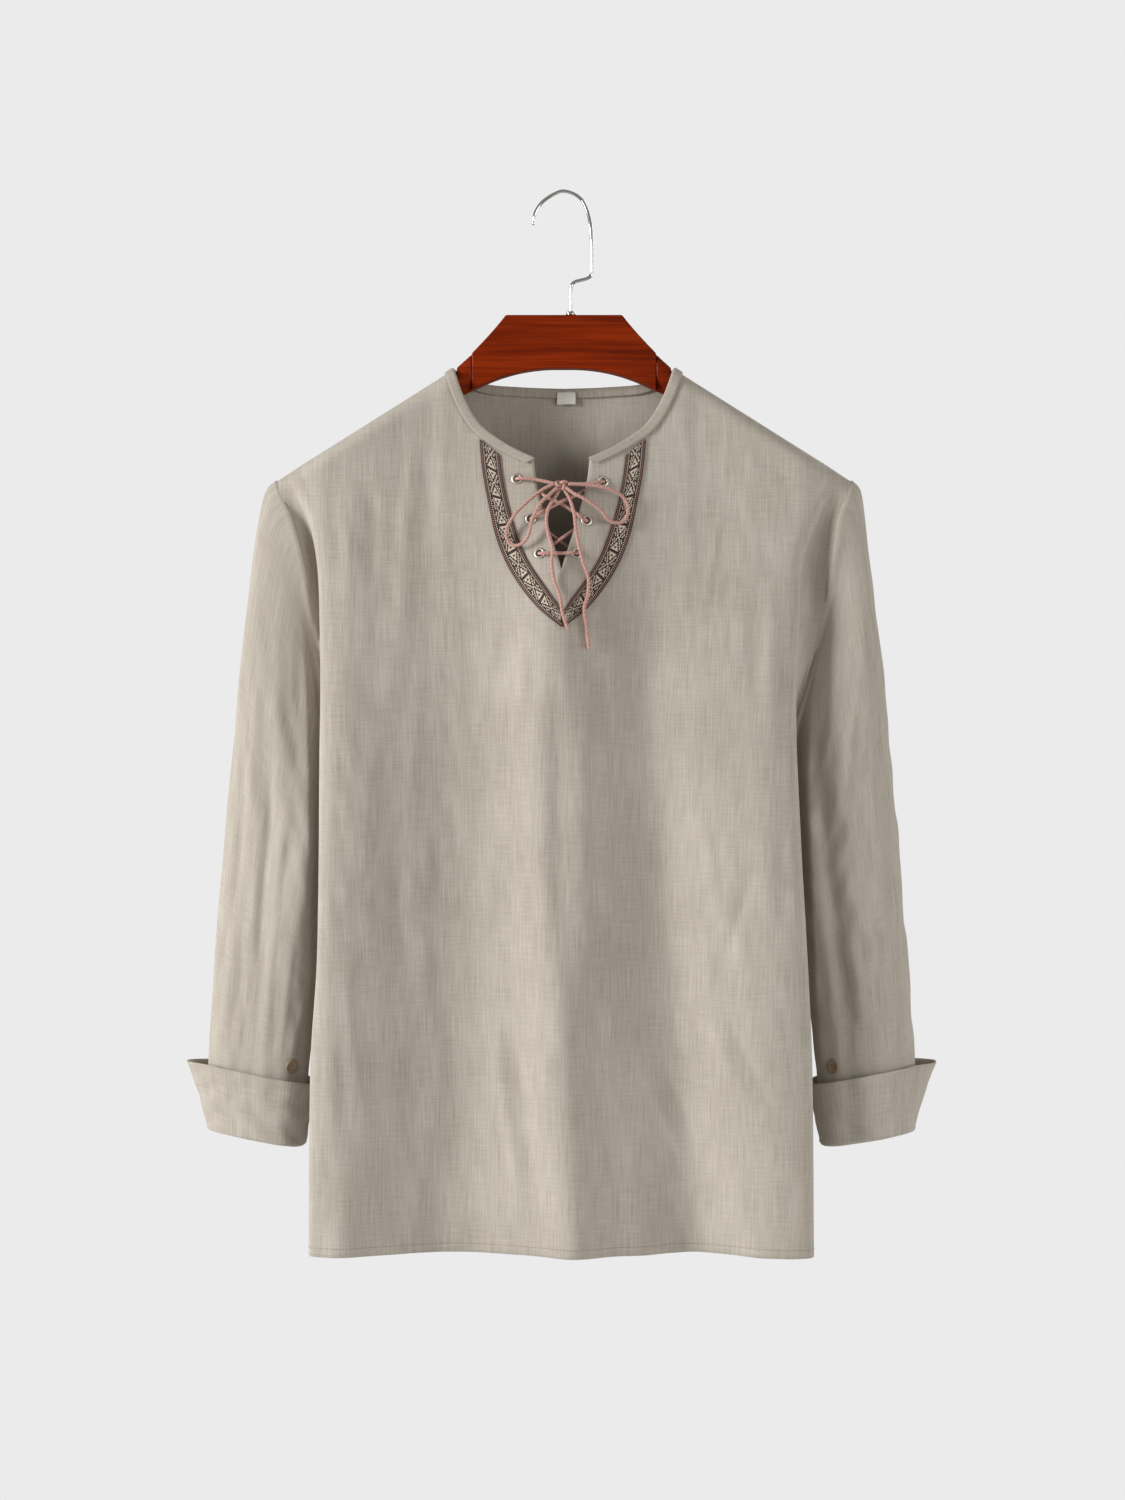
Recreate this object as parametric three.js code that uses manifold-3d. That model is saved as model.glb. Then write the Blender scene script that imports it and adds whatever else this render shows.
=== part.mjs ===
// Lace-up linen shirt on a wooden hanger, in millimetres.
// +X is the wearer's left, -Y the front and +Z up. The hook hangs from the origin.
// Every panel is a wall of cloth: its outer face is worked out here and the wall grows inward.
import * as THREE from 'three';
import { mergeVertices } from 'three/addons/utils/BufferGeometryUtils.js';
import Module from 'manifold-3d';

// Driving dimensions of the shirt
const clothWall = 1.2;
const seamGap = 0.4;
const sleeveGap = 1.3;
const neckHalf = 89.2;
const neckLevel = -142;
const shoulderHalf = 229;
const shoulderSlope = 0.634;
const underarmLevel = -460;
const hemLevel = -840;
const middleShift = -2;
const frontDepth = 50;
const backDepth = 42;
const drapeDrop = 330;
const cornerRound = 9;

// Driving dimensions of the trimmings
const bindingWidth = 6;
const tapeGap = 0.6;
const tapeWall = 0.8;
const laceRadius = 1.5;
const eyeletHole = 2.6;
const eyeletRim = 4.6;
const cuffHeight = 54;
const cuffWall = 1.6;

// Driving dimensions of the hanger
const boardHalf = 73.7;
const boardDepth = 13;
const hookWire = 1.5;
const hookStemX = 5.6;
const armClearance = 2.4;
const neckEase = 2.2;

// Grid of the panels
const faceColumns = 11;
const rollColumns = 5;
const armholeRows = 12;
const skirtRows = 10;
const ridgeRows = [0, 0.1, 0.35, 0.7];

// Short tables are rows of numbers with named columns, read smoothly between the rows.
function table(columns, rows) {
  return rows.map((row) => Object.fromEntries(columns.map((name, i) => [name, row[i]])));
}

function readTable(rows, key, value, name) {
  const falling = rows[0][key] > rows[rows.length - 1][key];
  const sign = falling ? -1 : 1;
  const at = sign * value;
  const last = rows.length - 1;
  if (at <= sign * rows[0][key]) return rows[0][name];
  if (at >= sign * rows[last][key]) return rows[last][name];
  let k = 0;
  while (sign * rows[k + 1][key] < at) k += 1;
  const slope = (i) => {
    const a = rows[Math.max(i - 1, 0)];
    const b = rows[Math.min(i + 1, last)];
    return (b[name] - a[name]) / (sign * (b[key] - a[key]));
  };
  const span = sign * (rows[k + 1][key] - rows[k][key]);
  const t = (at - sign * rows[k][key]) / span;
  const rise = rows[k + 1][name] - rows[k][name];
  const start = slope(k) * span;
  const end = slope(k + 1) * span;
  return rows[k][name] + t * (start + t * (3 * rise - 2 * start - end + t * (start + end - 2 * rise)));
}

const mix = THREE.MathUtils.lerp;
const clamp01 = (value) => THREE.MathUtils.clamp(value, 0, 1);
const ease = (value) => {
  const t = clamp01(value);
  return t * t * (3 - 2 * t);
};
const bump = (value, centre, width) => Math.exp(-(((value - centre) / width) ** 2));

// How the sides run, from the shoulder point down to the hem.
// edge: the fold that shows from the front. roll: how far the cloth rolls back there.
// tuck and dip: how it goes on behind the fold. end: the armhole, then the side seam.
const sides = table(
  ['z', 'rightEdge', 'leftEdge', 'roll', 'tuck', 'dip', 'rightEnd', 'leftEnd', 'frontEnd', 'backEnd'],
  [
    [-230.6, 218, 218, 0, 0, 0, 229, 229, 10, 10],
    [-242, 214, 212, 0.3, 0, -1, 226, 226, 12, 12],
    [-262, 204, 201, 0.7, 0, -3, 217, 220, 15, 14],
    [-300, 196, 189, 1, 1, -5, 207, 214, 16, 16],
    [-345, 193, 186, 1, 2, -4, 199, 206, 14, 14],
    [-400, 191.5, 182.5, 1, 4, 0, 187, 189, 10, 10],
    [-440, 191.5, 182, 1, 5, 0, 171, 171, 6, 6],
    [-460, 191.5, 182.5, 1, 5, 0, 160, 160, 0, 0],
    [-520, 191.5, 185, 1, 5, 0, 142, 142, 0, 0],
    [-610, 193, 190, 1, 5, 0, 138, 138, 0, 0],
    [-690, 198, 193.5, 1, 5, 0, 138, 138, 0, 0],
    [-840, 199.5, 194.6, 1, 5, 0, 142, 142, 0, 0],
  ],
);

// Half the depth of the hanger arms, which the cloth of the shoulders lies on.
const armDepths = table(
  ['x', 'half'],
  [
    [74, 6.5],
    [90, 7.5],
    [120, 11],
    [155, 15.5],
    [185, 17.5],
    [200, 15.5],
    [208, 12],
    [214, 6],
  ],
);

// Long soft folds: where each runs at chest and hem level, its width and its depth.
const frontFolds = table(
  ['chestX', 'hemX', 'width', 'chestDepth', 'hemDepth'],
  [
    [-176, -174, 20, 3, 6],
    [-99, -107, 40, -12, -17],
    [-17, 2, 34, 9, 14],
    [68, 110, 33, -11, -17],
    [150, 168, 42, 5, 9],
  ],
);
const backFolds = table(
  ['chestX', 'hemX', 'width', 'chestDepth', 'hemDepth'],
  [
    [-120, -132, 36, -3, -9],
    [-52, -60, 30, 2, 9],
    [10, 14, 34, -3, -9],
    [78, 84, 30, 2, 9],
    [140, 150, 30, -2, -7],
  ],
);

const shoulderLine = (x) => neckLevel - shoulderSlope * (Math.abs(x) - neckHalf);

// How round the cloth runs over the shoulder ridge, from 0 at its seam to 1 below it
const ridgeHeight = 14;
const ridgeArc = (below) => Math.sqrt(1 - (1 - clamp01(below / ridgeHeight)) ** 2);

// Depth of a face of cloth at (x, z), measured from the seam plane, before its folds
function drapedDepth(x, z, fullDepth) {
  const across = Math.abs(x);
  const below = Math.max(0, shoulderLine(x) - z);
  const nearNeck = neckEase * (1 - ease((across - 94) / 14));
  const ridge = readTable(armDepths, 'x', across, 'half') + armClearance + nearNeck;
  return ridge * ridgeArc(below) + (fullDepth - ridge) * ease(below / drapeDrop);
}

function foldDepth(folds, x, z) {
  const down = clamp01((-400 - z) / (-400 - hemLevel));
  const strength = ease((-225 - z) / 190);
  let depth = 0;
  for (const fold of folds) {
    const centre = mix(fold.chestX, fold.hemX, down * down);
    depth += mix(fold.chestDepth, fold.hemDepth, down) * bump(x, centre, fold.width);
  }
  return depth * strength;
}

const frontFace = (x, z) => drapedDepth(x, z, frontDepth) + foldDepth(frontFolds, x, z);

function backFace(x, z) {
  const collar = 7 * ease(1 - Math.abs(x) / 110) * (1 - ease((-150 - z) / 160));
  return drapedDepth(x, z, backDepth) + collar + foldDepth(backFolds, x, z);
}

// One look at a half panel: side is 1 for +X and -1 for -X, facing is -1 for the front panel.
const sideValue = (side, z, name) => readTable(sides, 'z', z, (side > 0 ? 'left' : 'right') + name);
const sideDepth = (z, facing) =>
  ridgeArc(shoulderLine(shoulderHalf) - z) * readTable(sides, 'z', z, facing < 0 ? 'frontEnd' : 'backEnd');

const armholeLevel = (row) =>
  mix(shoulderLine(shoulderHalf), underarmLevel, Math.min(row / armholeRows, 1) ** 1.35);
const endLevel = (row) =>
  row <= armholeRows ? armholeLevel(row) : mix(underarmLevel, hemLevel, (row - armholeRows) / skirtRows);
const faceEndLevel = (row) => endLevel(row) + 13.3 * (1 - clamp01(row / 9)) ** 2;
const faceEndX = (side, row) => sideValue(side, endLevel(row), 'Edge') - cornerRound;

// A point on the part that rolls back, along = 0 at the face and 1 at the armhole or side seam
function rolledPoint(side, row, along, facing, faceDepth) {
  const z = endLevel(row);
  const edge = sideValue(side, z, 'Edge');
  const roll = readTable(sides, 'z', z, 'roll');
  const tuck = readTable(sides, 'z', z, 'tuck');
  const dip = readTable(sides, 'z', z, 'dip');
  const thick = (facing < 0 ? 17 : 12) * roll;
  const start = new THREE.Vector2(edge - cornerRound, faceDepth);
  const end = new THREE.Vector2(sideValue(side, z, 'End'), sideDepth(z, facing));
  const behind = new THREE.Vector2(edge - tuck, faceDepth - thick);
  const stations = [
    start,
    new THREE.Vector2(edge - 2, faceDepth - 0.2 * thick),
    new THREE.Vector2(edge, faceDepth - 0.6 * thick),
    behind,
    new THREE.Vector2((behind.x + end.x) / 2, (behind.y + end.y) / 2 + dip),
    end,
  ];
  const place = along * (stations.length - 1);
  const k = Math.min(Math.floor(place), stations.length - 2);
  const rolled = stations[k].clone().lerp(stations[k + 1], place - k);
  const flat = start.clone().lerp(end, along);
  const spot = flat.lerp(rolled, roll);
  const level = mix(faceEndLevel(row), z, along);
  return new THREE.Vector3(side * spot.x, facing * (spot.y + seamGap), level);
}

// Neck edge of half a front: down the neckline, then down the slit, then the centre line
const neckCurve = new THREE.SplineCurve([
  new THREE.Vector2(neckHalf, neckLevel),
  new THREE.Vector2(80.5, -166),
  new THREE.Vector2(66.5, -188.5),
  new THREE.Vector2(44, -205),
  new THREE.Vector2(22, -216),
]);
const slitCurve = new THREE.SplineCurve([
  new THREE.Vector2(22, -216),
  new THREE.Vector2(19.5, -235),
  new THREE.Vector2(11.5, -266),
  new THREE.Vector2(2, -297),
]);
const neckRows = 5;
const slitRows = 4;
const slitFoot = -304;
const middleChest = -358;

function innerEdge(row) {
  if (row <= neckRows) return neckCurve.getPoint(row / neckRows);
  if (row <= neckRows + slitRows) return slitCurve.getPoint((row - neckRows) / slitRows);
  const seamRow = row - neckRows - slitRows;
  const bibRows = armholeRows - neckRows - slitRows;
  if (seamRow <= bibRows) {
    return new THREE.Vector2(0, mix(slitFoot, middleChest, (seamRow - 1) / (bibRows - 1)));
  }
  return new THREE.Vector2(0, mix(middleChest, hemLevel, (row - armholeRows) / skirtRows));
}

const shiftAt = (side, across) => middleShift * (1 - ease(across / 120));

function frontPoint(side, row, column) {
  const inner = innerEdge(row);
  const endX = faceEndX(side, row);
  if (column <= faceColumns) {
    const along = column / faceColumns;
    const across = mix(inner.x, endX, along);
    const x = side * across + shiftAt(side, across);
    const z = mix(inner.y, faceEndLevel(row), along);
    return new THREE.Vector3(x, -(frontFace(x, z) + seamGap), z);
  }
  const faceX = side * endX;
  const depth = frontFace(faceX, faceEndLevel(row));
  return rolledPoint(side, row, (column - faceColumns) / rollColumns, -1, depth);
}

// Top edge of half a back: along the neckline to the neck point, then along the shoulder
const backNeck = new THREE.SplineCurve([
  new THREE.Vector2(0, -155.5),
  new THREE.Vector2(34, -154.8),
  new THREE.Vector2(66, -152.2),
  new THREE.Vector2(neckHalf, neckLevel),
]);
const backNeckColumns = 6;
const yokeShare = 0.3;

function backTop(side, column) {
  if (column <= backNeckColumns) return backNeck.getPoint(1 - (1 - column / backNeckColumns) ** 2.4);
  const along = (column - backNeckColumns) / (faceColumns - backNeckColumns);
  const x = mix(neckHalf, faceEndX(side, 0), along);
  return new THREE.Vector2(x, mix(neckLevel, faceEndLevel(0), along));
}

function backPoint(side, row, column) {
  const endX = faceEndX(side, row);
  if (column <= faceColumns) {
    const top = backTop(side, column);
    const along = column / faceColumns;
    const outerFall = (faceEndLevel(0) - faceEndLevel(row)) / (faceEndLevel(0) - hemLevel);
    const yokeFall = yokeShare * clamp01(row / armholeRows) ** 1.35;
    const centreFall = mix(yokeFall, 1, clamp01((row - armholeRows) / skirtRows));
    const fall = mix(centreFall, outerFall, along);
    const x = side * mix(top.x, endX * along, ease(row / armholeRows));
    const z = mix(top.y, hemLevel, fall);
    const across = column === faceColumns ? side * endX : x;
    return new THREE.Vector3(across, backFace(across, z) + seamGap, z);
  }
  const depth = backFace(side * endX, faceEndLevel(row));
  return rolledPoint(side, row, (column - faceColumns) / rollColumns, 1, depth);
}

// Triangles of a grid of points, turned over where flip is set
function addGrid(triangles, rows, columns, pointAt, flip) {
  for (let r = 0; r < rows.length - 1; r += 1) {
    for (let c = 0; c < columns.length - 1; c += 1) {
      const a = pointAt(rows[r], columns[c]);
      const b = pointAt(rows[r], columns[c + 1]);
      const d = pointAt(rows[r + 1], columns[c]);
      const e = pointAt(rows[r + 1], columns[c + 1]);
      const quad = flip ? [a, b, e, a, e, d] : [a, e, b, a, d, e];
      triangles.push(...quad);
    }
  }
}

function indexed(points) {
  const plain = new THREE.BufferGeometry().setFromPoints(points);
  return mergeVertices(plain, 1e-3);
}

// A wall of cloth: the outer face, a copy moved inward along its normals, and the cut edges
function wallOf(triangles, thickness) {
  const face = indexed(triangles);
  face.computeVertexNormals();
  const place = face.getAttribute('position');
  const normal = face.getAttribute('normal');
  const index = Array.from(face.getIndex().array);
  const count = place.count;
  const positions = [];
  for (let i = 0; i < count; i += 1) positions.push(place.getX(i), place.getY(i), place.getZ(i));
  for (let i = 0; i < count; i += 1) {
    positions.push(place.getX(i) - normal.getX(i) * thickness);
    positions.push(place.getY(i) - normal.getY(i) * thickness);
    positions.push(place.getZ(i) - normal.getZ(i) * thickness);
  }
  const faces = [];
  const borders = new Map();
  for (let i = 0; i < index.length; i += 3) {
    const [a, b, c] = [index[i], index[i + 1], index[i + 2]];
    faces.push(a, b, c, a + count, c + count, b + count);
    for (const [from, to] of [[a, b], [b, c], [c, a]]) {
      if (borders.has(`${to} ${from}`)) borders.delete(`${to} ${from}`);
      else borders.set(`${from} ${to}`, [from, to]);
    }
  }
  for (const [from, to] of borders.values()) {
    faces.push(from, from + count, to, to, from + count, to + count);
  }
  const wall = new THREE.BufferGeometry();
  wall.setAttribute('position', new THREE.Float32BufferAttribute(positions, 3));
  wall.setIndex(faces);
  return wall;
}

// A closed section of points swept along stations, each station giving its own ring of points
function sweep(rings, closed) {
  const points = [];
  const sectionSize = rings[0].length;
  const last = closed ? rings.length : rings.length - 1;
  for (let i = 0; i < last; i += 1) {
    const here = rings[i];
    const next = rings[(i + 1) % rings.length];
    for (let k = 0; k < sectionSize; k += 1) {
      const m = (k + 1) % sectionSize;
      points.push(here[k], here[m], next[m], here[k], next[m], next[k]);
    }
  }
  if (!closed) {
    const caps = [rings[0], rings[rings.length - 1]];
    caps.forEach((ring, end) => {
      const centre = new THREE.Vector3();
      for (const point of ring) centre.addScaledVector(point, 1 / sectionSize);
      ring.forEach((point, k) => {
        const other = ring[(k + 1) % sectionSize];
        points.push(...(end ? [centre, point, other] : [centre, other, point]));
      });
    });
  }
  return indexed(points);
}

// A flat cap made from the section's own triangles, for sections that are not round
function sweepShape(rings, faces) {
  const points = [];
  const sectionSize = rings[0].length;
  for (let i = 0; i < rings.length - 1; i += 1) {
    for (let k = 0; k < sectionSize; k += 1) {
      const m = (k + 1) % sectionSize;
      const [here, next] = [rings[i], rings[i + 1]];
      points.push(here[k], here[m], next[m], here[k], next[m], next[k]);
    }
  }
  for (const [a, b, c] of faces) {
    const [first, last] = [rings[0], rings[rings.length - 1]];
    points.push(first[a], first[c], first[b], last[a], last[b], last[c]);
  }
  return indexed(points);
}

// Solids for cutting and joining
const wasm = await Module();
wasm.setup();

function solidOf(geometry) {
  const bare = geometry.clone();
  bare.deleteAttribute('normal');
  bare.deleteAttribute('uv');
  const merged = mergeVertices(bare, 1e-4);
  return new wasm.Manifold(new wasm.Mesh({
    numProp: 3,
    vertProperties: new Float32Array(merged.getAttribute('position').array),
    triVerts: new Uint32Array(merged.getIndex().array),
  }));
}

function geometryOf(solid) {
  const mesh = solid.getMesh();
  const geometry = new THREE.BufferGeometry();
  geometry.setAttribute('position', new THREE.Float32BufferAttribute(mesh.vertProperties, 3));
  geometry.setIndex(Array.from(mesh.triVerts));
  return geometry;
}

// Where something lies on the front: lift in front of the cloth, or behind it where negative
function onFront(x, z, lift) {
  const y = -(frontFace(x, z) + seamGap);
  return new THREE.Vector3(x, lift >= 0 ? y - lift : y + clothWall - lift, z);
}

function frontNormal(x, z) {
  const slopeX = (frontFace(x + 3, z) - frontFace(x - 3, z)) / 6;
  const slopeZ = (frontFace(x, z + 3) - frontFace(x, z - 3)) / 6;
  return new THREE.Vector3(-slopeX, -1, -slopeZ).normalize();
}

// Eyelets: three on each side of the slit, set through the cloth
const eyeletPlaces = table(
  ['x', 'z'],
  [
    [-37.3, -231.2],
    [-26.2, -263.5],
    [-19.3, -291.2],
    [30.8, -233.5],
    [17.7, -264.9],
    [10, -291.2],
  ],
);
const eyeletNames = ['right_top', 'right_middle', 'right_bottom', 'left_top', 'left_middle', 'left_bottom'];

function turnTo(normal) {
  return new THREE.Quaternion().setFromUnitVectors(new THREE.Vector3(0, 1, 0), normal);
}

function placeOnNormal(geometry, spot, normal) {
  geometry.applyQuaternion(turnTo(normal));
  geometry.translate(spot.x, spot.y, spot.z);
  return geometry;
}

function eyelet(place) {
  const under = -clothWall - 0.45;
  const profile = [
    new THREE.Vector2(eyeletHole, 1.2),
    new THREE.Vector2(eyeletRim, 1),
    new THREE.Vector2(eyeletRim, 0.45),
    new THREE.Vector2(eyeletHole + 0.35, 0.45),
    new THREE.Vector2(eyeletHole + 0.35, under),
    new THREE.Vector2(eyeletRim - 0.6, under),
    new THREE.Vector2(eyeletRim - 0.6, under - 0.6),
    new THREE.Vector2(eyeletHole, under - 0.7),
    new THREE.Vector2(eyeletHole, 1.2),
  ];
  const ring = new THREE.LatheGeometry(profile.reverse(), 10);
  return placeOnNormal(ring, onFront(place.x, place.z, 0), frontNormal(place.x, place.z));
}

// Front and back panels
const panelRows = [...ridgeRows];
for (let row = 1; row <= armholeRows + skirtRows; row += 1) panelRows.push(row);
const panelColumns = [];
for (let column = 0; column <= faceColumns + rollColumns; column += 1) panelColumns.push(column);

function frontPanel() {
  const triangles = [];
  addGrid(triangles, panelRows, panelColumns, (row, column) => frontPoint(1, row, column), false);
  addGrid(triangles, panelRows, panelColumns, (row, column) => frontPoint(-1, row, column), true);
  let solid = solidOf(wallOf(triangles, clothWall));
  for (const place of eyeletPlaces) {
    const drill = new THREE.CylinderGeometry(eyeletHole + 0.7, eyeletHole + 0.7, 12, 12);
    placeOnNormal(drill, onFront(place.x, place.z, 0), frontNormal(place.x, place.z));
    solid = solid.subtract(solidOf(drill));
  }
  return geometryOf(solid);
}

function backPanel() {
  const triangles = [];
  const rows = panelRows.filter((row) => row <= armholeRows || row % 2 === 0);
  addGrid(triangles, rows, panelColumns, (row, column) => backPoint(1, row, column), true);
  addGrid(triangles, rows, panelColumns, (row, column) => backPoint(-1, row, column), false);
  return wallOf(triangles, clothWall);
}

// Sleeves: rings that start at the armhole and fan out along the arm.
// outer and inner: the two ends of a ring. armhole: how much of the armhole's shape it keeps.
const sleeveRings = table(
  ['outerX', 'outerZ', 'innerX', 'innerZ', 'front', 'back', 'armhole'],
  [
    [229, -230.6, 160, -460, 12, 12, 1],
    [237, -239, 161.5, -466, 14, 13, 0.72],
    [243, -262, 163.5, -473, 19, 18, 0.42],
    [247.5, -292, 166, -481, 25, 23, 0.2],
    [252, -330, 169, -492, 31, 28, 0.08],
    [257, -372, 173, -508, 35, 31, 0],
    [261.5, -420, 178, -530, 38, 32, 0],
    [266, -474, 184, -560, 38, 33, 0],
    [271, -530, 190, -592, 37, 33, 0],
    [276, -590, 196, -628, 36, 32, 0],
    [280.5, -650, 201.5, -670, 34, 31, 0],
    [283.5, -698, 205.5, -711, 33, 31, 0],
    [282.5, -743.4, 208.6, -756.2, 33, 31, 0],
  ],
);
const leftSleeveInset = 4.5;
const aroundHalf = armholeRows;
const around = 2 * aroundHalf;

// Long folds of a sleeve: where each sits around it, its width and its depth
const sleeveFolds = table(
  ['angle', 'drift', 'width', 'depth'],
  [
    [0.9, 0.35, 0.28, -2.6],
    [1.55, 0.2, 0.25, 2],
    [2.15, -0.25, 0.26, -2.4],
    [4.2, 0.2, 0.4, -2],
    [5.1, -0.2, 0.35, 1.5],
  ],
);

const armholeStep = (k) => (k <= aroundHalf ? k : around - k);

// A point of a sleeve: ring counts down the arm, k counts around it from the shoulder over the front
function sleevePoint(side, ring, k) {
  const row = sleeveRings[ring];
  const inset = side > 0 ? leftSleeveInset * ease(ring / 3) : 0;
  const outer = new THREE.Vector3(row.outerX - inset, 0, row.outerZ);
  const inner = new THREE.Vector3(row.innerX - (side > 0 ? 2 * ease((ring - 4) / 4) : 0), 0, row.innerZ);
  const angle = (Math.PI * k) / aroundHalf;
  const facing = k <= aroundHalf ? -1 : 1;
  const toOuter = (1 + Math.cos(angle)) / 2;
  const bulge = Math.abs(Math.sin(angle)) * (facing < 0 ? row.front : row.back);
  const oval = inner.clone().lerp(outer, toOuter);
  oval.y = facing * bulge;
  let fold = 0;
  for (const crease of sleeveFolds) {
    fold += crease.depth * bump(angle, crease.angle + (crease.drift * ring) / 12, crease.width);
  }
  const foldStrength = ease((ring - 1) / 4) * (1 - 0.7 * ease((ring - 9) / 2));
  const middle = inner.clone().lerp(outer, 0.5);
  oval.add(oval.clone().sub(middle).normalize().multiplyScalar(fold * foldStrength));
  if (row.armhole > 0) {
    const z = armholeLevel(armholeStep(k));
    const held = new THREE.Vector3(sideValue(side, z, 'End') + sleeveGap, facing * sideDepth(z, facing), z);
    const first = sleeveRings[0];
    held.x += mix(row.innerX - first.innerX, outer.x - first.outerX, toOuter);
    held.z += mix(row.innerZ - first.innerZ, row.outerZ - first.outerZ, toOuter);
    oval.lerp(held, row.armhole);
  }
  oval.x *= side;
  return oval;
}

const countTo = (last) => Array.from({ length: last + 1 }, (unused, i) => i);

function sleeve(side) {
  const triangles = [];
  const pointAt = (ring, k) => sleevePoint(side, ring, k % around);
  addGrid(triangles, countTo(sleeveRings.length - 1), countTo(around), pointAt, side > 0);
  return wallOf(triangles, clothWall);
}

// A cuff is turned up: a short leg inside the sleeve, the fold under its end, a long leg outside.
// Each station is an offset out of the sleeve and a height above the fold.
function cuff(side) {
  const last = sleeveRings.length - 1;
  const rings = countTo(around - 1).map((k) => {
    const low = sleevePoint(side, last, k);
    const high = sleevePoint(side, last - 1, k);
    const up = high.clone().sub(low).normalize();
    const middleX = (sleeveRings[last].outerX + sleeveRings[last].innerX) / 2;
    const centre = new THREE.Vector3(side * middleX, 0, low.z);
    const out = low.clone().sub(centre);
    out.addScaledVector(up, -out.dot(up)).normalize();
    const angle = (Math.PI * k) / aroundHalf;
    const tip = 11 * bump(Math.min(angle, 2 * Math.PI - angle), 0, 0.45);
    const flare = 4.5 + tip + 2.5 * bump(angle, Math.PI, 0.8);
    const rise = cuffHeight - 4 * ease(angle < Math.PI ? angle / Math.PI : 2 - angle / Math.PI);
    const leg = (height) => 0.7 + flare * (height / cuffHeight) ** 1.4;
    const stations = [
      [-clothWall - 0.5, 14],
      [-clothWall - 0.5, 2.8],
      [0.3, 2.4],
      [leg(8), 8],
      [leg(30), 30],
      [leg(rise), rise],
      [leg(rise) + cuffWall, rise],
      [leg(30) + cuffWall, 30],
      [leg(8) + cuffWall, 8],
      [0.8, 0.6],
      [-clothWall - 1.2, 0.4],
      [-clothWall - 0.5 - cuffWall, 2.8],
      [-clothWall - 0.5 - cuffWall, 14],
    ];
    const foot = low.clone().addScaledVector(up, -3.6);
    const ring = stations.map(([offset, height]) =>
      foot.clone().addScaledVector(out, offset).addScaledVector(up, height));
    return side > 0 ? ring.reverse() : ring;
  });
  return sweep(rings, true);
}

// Neck binding: a strip folded over the neck edge, from one corner of the slit to the other.
// A station holds the edge of the neck and the points where its legs lie on the panel.
function frontStation(side, row) {
  const edge = frontPoint(side, row, 0);
  const far = frontPoint(side, row, 1);
  const reach = edge.distanceTo(far);
  return [0, 0.5, 1].map((share) => edge.clone().lerp(far, (share * bindingWidth) / reach));
}

// On the back the legs turn from the line of the shoulder to straight down.
function backStation(side, column) {
  const edge = backPoint(side, 0, column);
  const turn = ease((backNeckColumns - column) / 3.4);
  const slant = Math.atan(shoulderSlope) + (Math.PI / 2 - Math.atan(shoulderSlope)) * turn;
  const onBack = (reach) => {
    const x = Math.abs(edge.x) + reach * Math.cos(slant);
    const z = edge.z - reach * Math.sin(slant);
    return new THREE.Vector3(side * x, backFace(x, z) + seamGap, z);
  };
  const leg = [edge];
  for (const share of [0.5, 1]) {
    let reach = share * bindingWidth;
    reach *= reach / Math.max(edge.distanceTo(onBack(reach)), reach);
    leg.push(onBack(reach));
  }
  return leg;
}

function bindingStations() {
  const front = [];
  for (let row = neckRows; row >= 1; row -= 1) front.push(row);
  front.push(...[...ridgeRows].reverse());
  const stations = front.map((row) => frontStation(-1, row));
  for (let column = 1 - backNeckColumns; column < backNeckColumns; column += 1) {
    stations.push(backStation(column < 0 ? -1 : 1, Math.abs(column)));
  }
  stations.push(...front.reverse().map((row) => frontStation(1, row)));
  return stations;
}

// Section of the binding: which point of the station, how far past it, and the lift off the cloth
const bindingSection = [
  [2, 0, 0.9], [2, 0, 1.6], [1, 0, 1.6], [0, -0.6, 1.6], [0, -1.3, 0.6], [0, -1.3, -1.5], [0, -0.6, -2.4],
  [1, 0, -2.4], [2, 0, -2.4], [2, 0, -1.7], [1, 0, -1.7], [0, -0.5, -1.7], [0, -0.5, 0.8], [1, 0, 0.95],
];

function neckBinding() {
  const stations = bindingStations();
  const rings = stations.map((leg, i) => {
    const before = stations[Math.max(i - 1, 0)];
    const after = stations[Math.min(i + 1, stations.length - 1)];
    const frames = leg.map((spot, k) => {
      const tangent = after[k].clone().sub(before[k]).normalize();
      const into = leg[Math.min(k + 1, 2)].clone().sub(leg[Math.max(k - 1, 0)]);
      into.addScaledVector(tangent, -into.dot(tangent)).normalize();
      return { spot, into, out: tangent.clone().cross(into).normalize() };
    });
    return bindingSection.map(([k, inward, lift]) => {
      const { spot, into, out } = frames[k];
      return spot.clone().addScaledVector(into, inward).addScaledVector(out, lift);
    });
  });
  const quads = [
    [0, 1, 2, 13], [13, 2, 3, 12], [12, 3, 4, 5],
    [12, 5, 6, 11], [11, 6, 7, 10], [10, 7, 8, 9],
  ];
  return sweepShape(rings, quads.flatMap(([a, b, c, d]) => [[a, b, c], [a, c, d]]));
}

// Trim tape: a band down each side of the slit, the two meeting in a point below it
const tapeEdges = table(
  ['outerX', 'outerZ', 'innerX', 'innerZ'],
  [
    [66, -199, 50, -212],
    [64, -222, 47.5, -231],
    [59, -250, 43, -253],
    [52, -280, 36.5, -275],
    [40, -307, 27.5, -297],
    [21, -333, 13, -319],
    [0.6, -350, 0.6, -337],
  ],
);

function tape(side) {
  const triangles = [];
  const last = tapeEdges.length - 1;
  const pointAt = (step, across) => {
    const k = Math.min(Math.floor(step), last - 1);
    const read = (name) => mix(tapeEdges[k][name], tapeEdges[k + 1][name], step - k);
    const x = side * mix(read('innerX'), read('outerX'), across) + middleShift / 2;
    return onFront(x, mix(read('innerZ'), read('outerZ'), across), tapeGap + tapeWall);
  };
  const steps = countTo(2 * last).map((i) => i / 2);
  addGrid(triangles, steps, [0, 0.5, 1], pointAt, side < 0);
  return wallOf(triangles, tapeWall);
}

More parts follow.
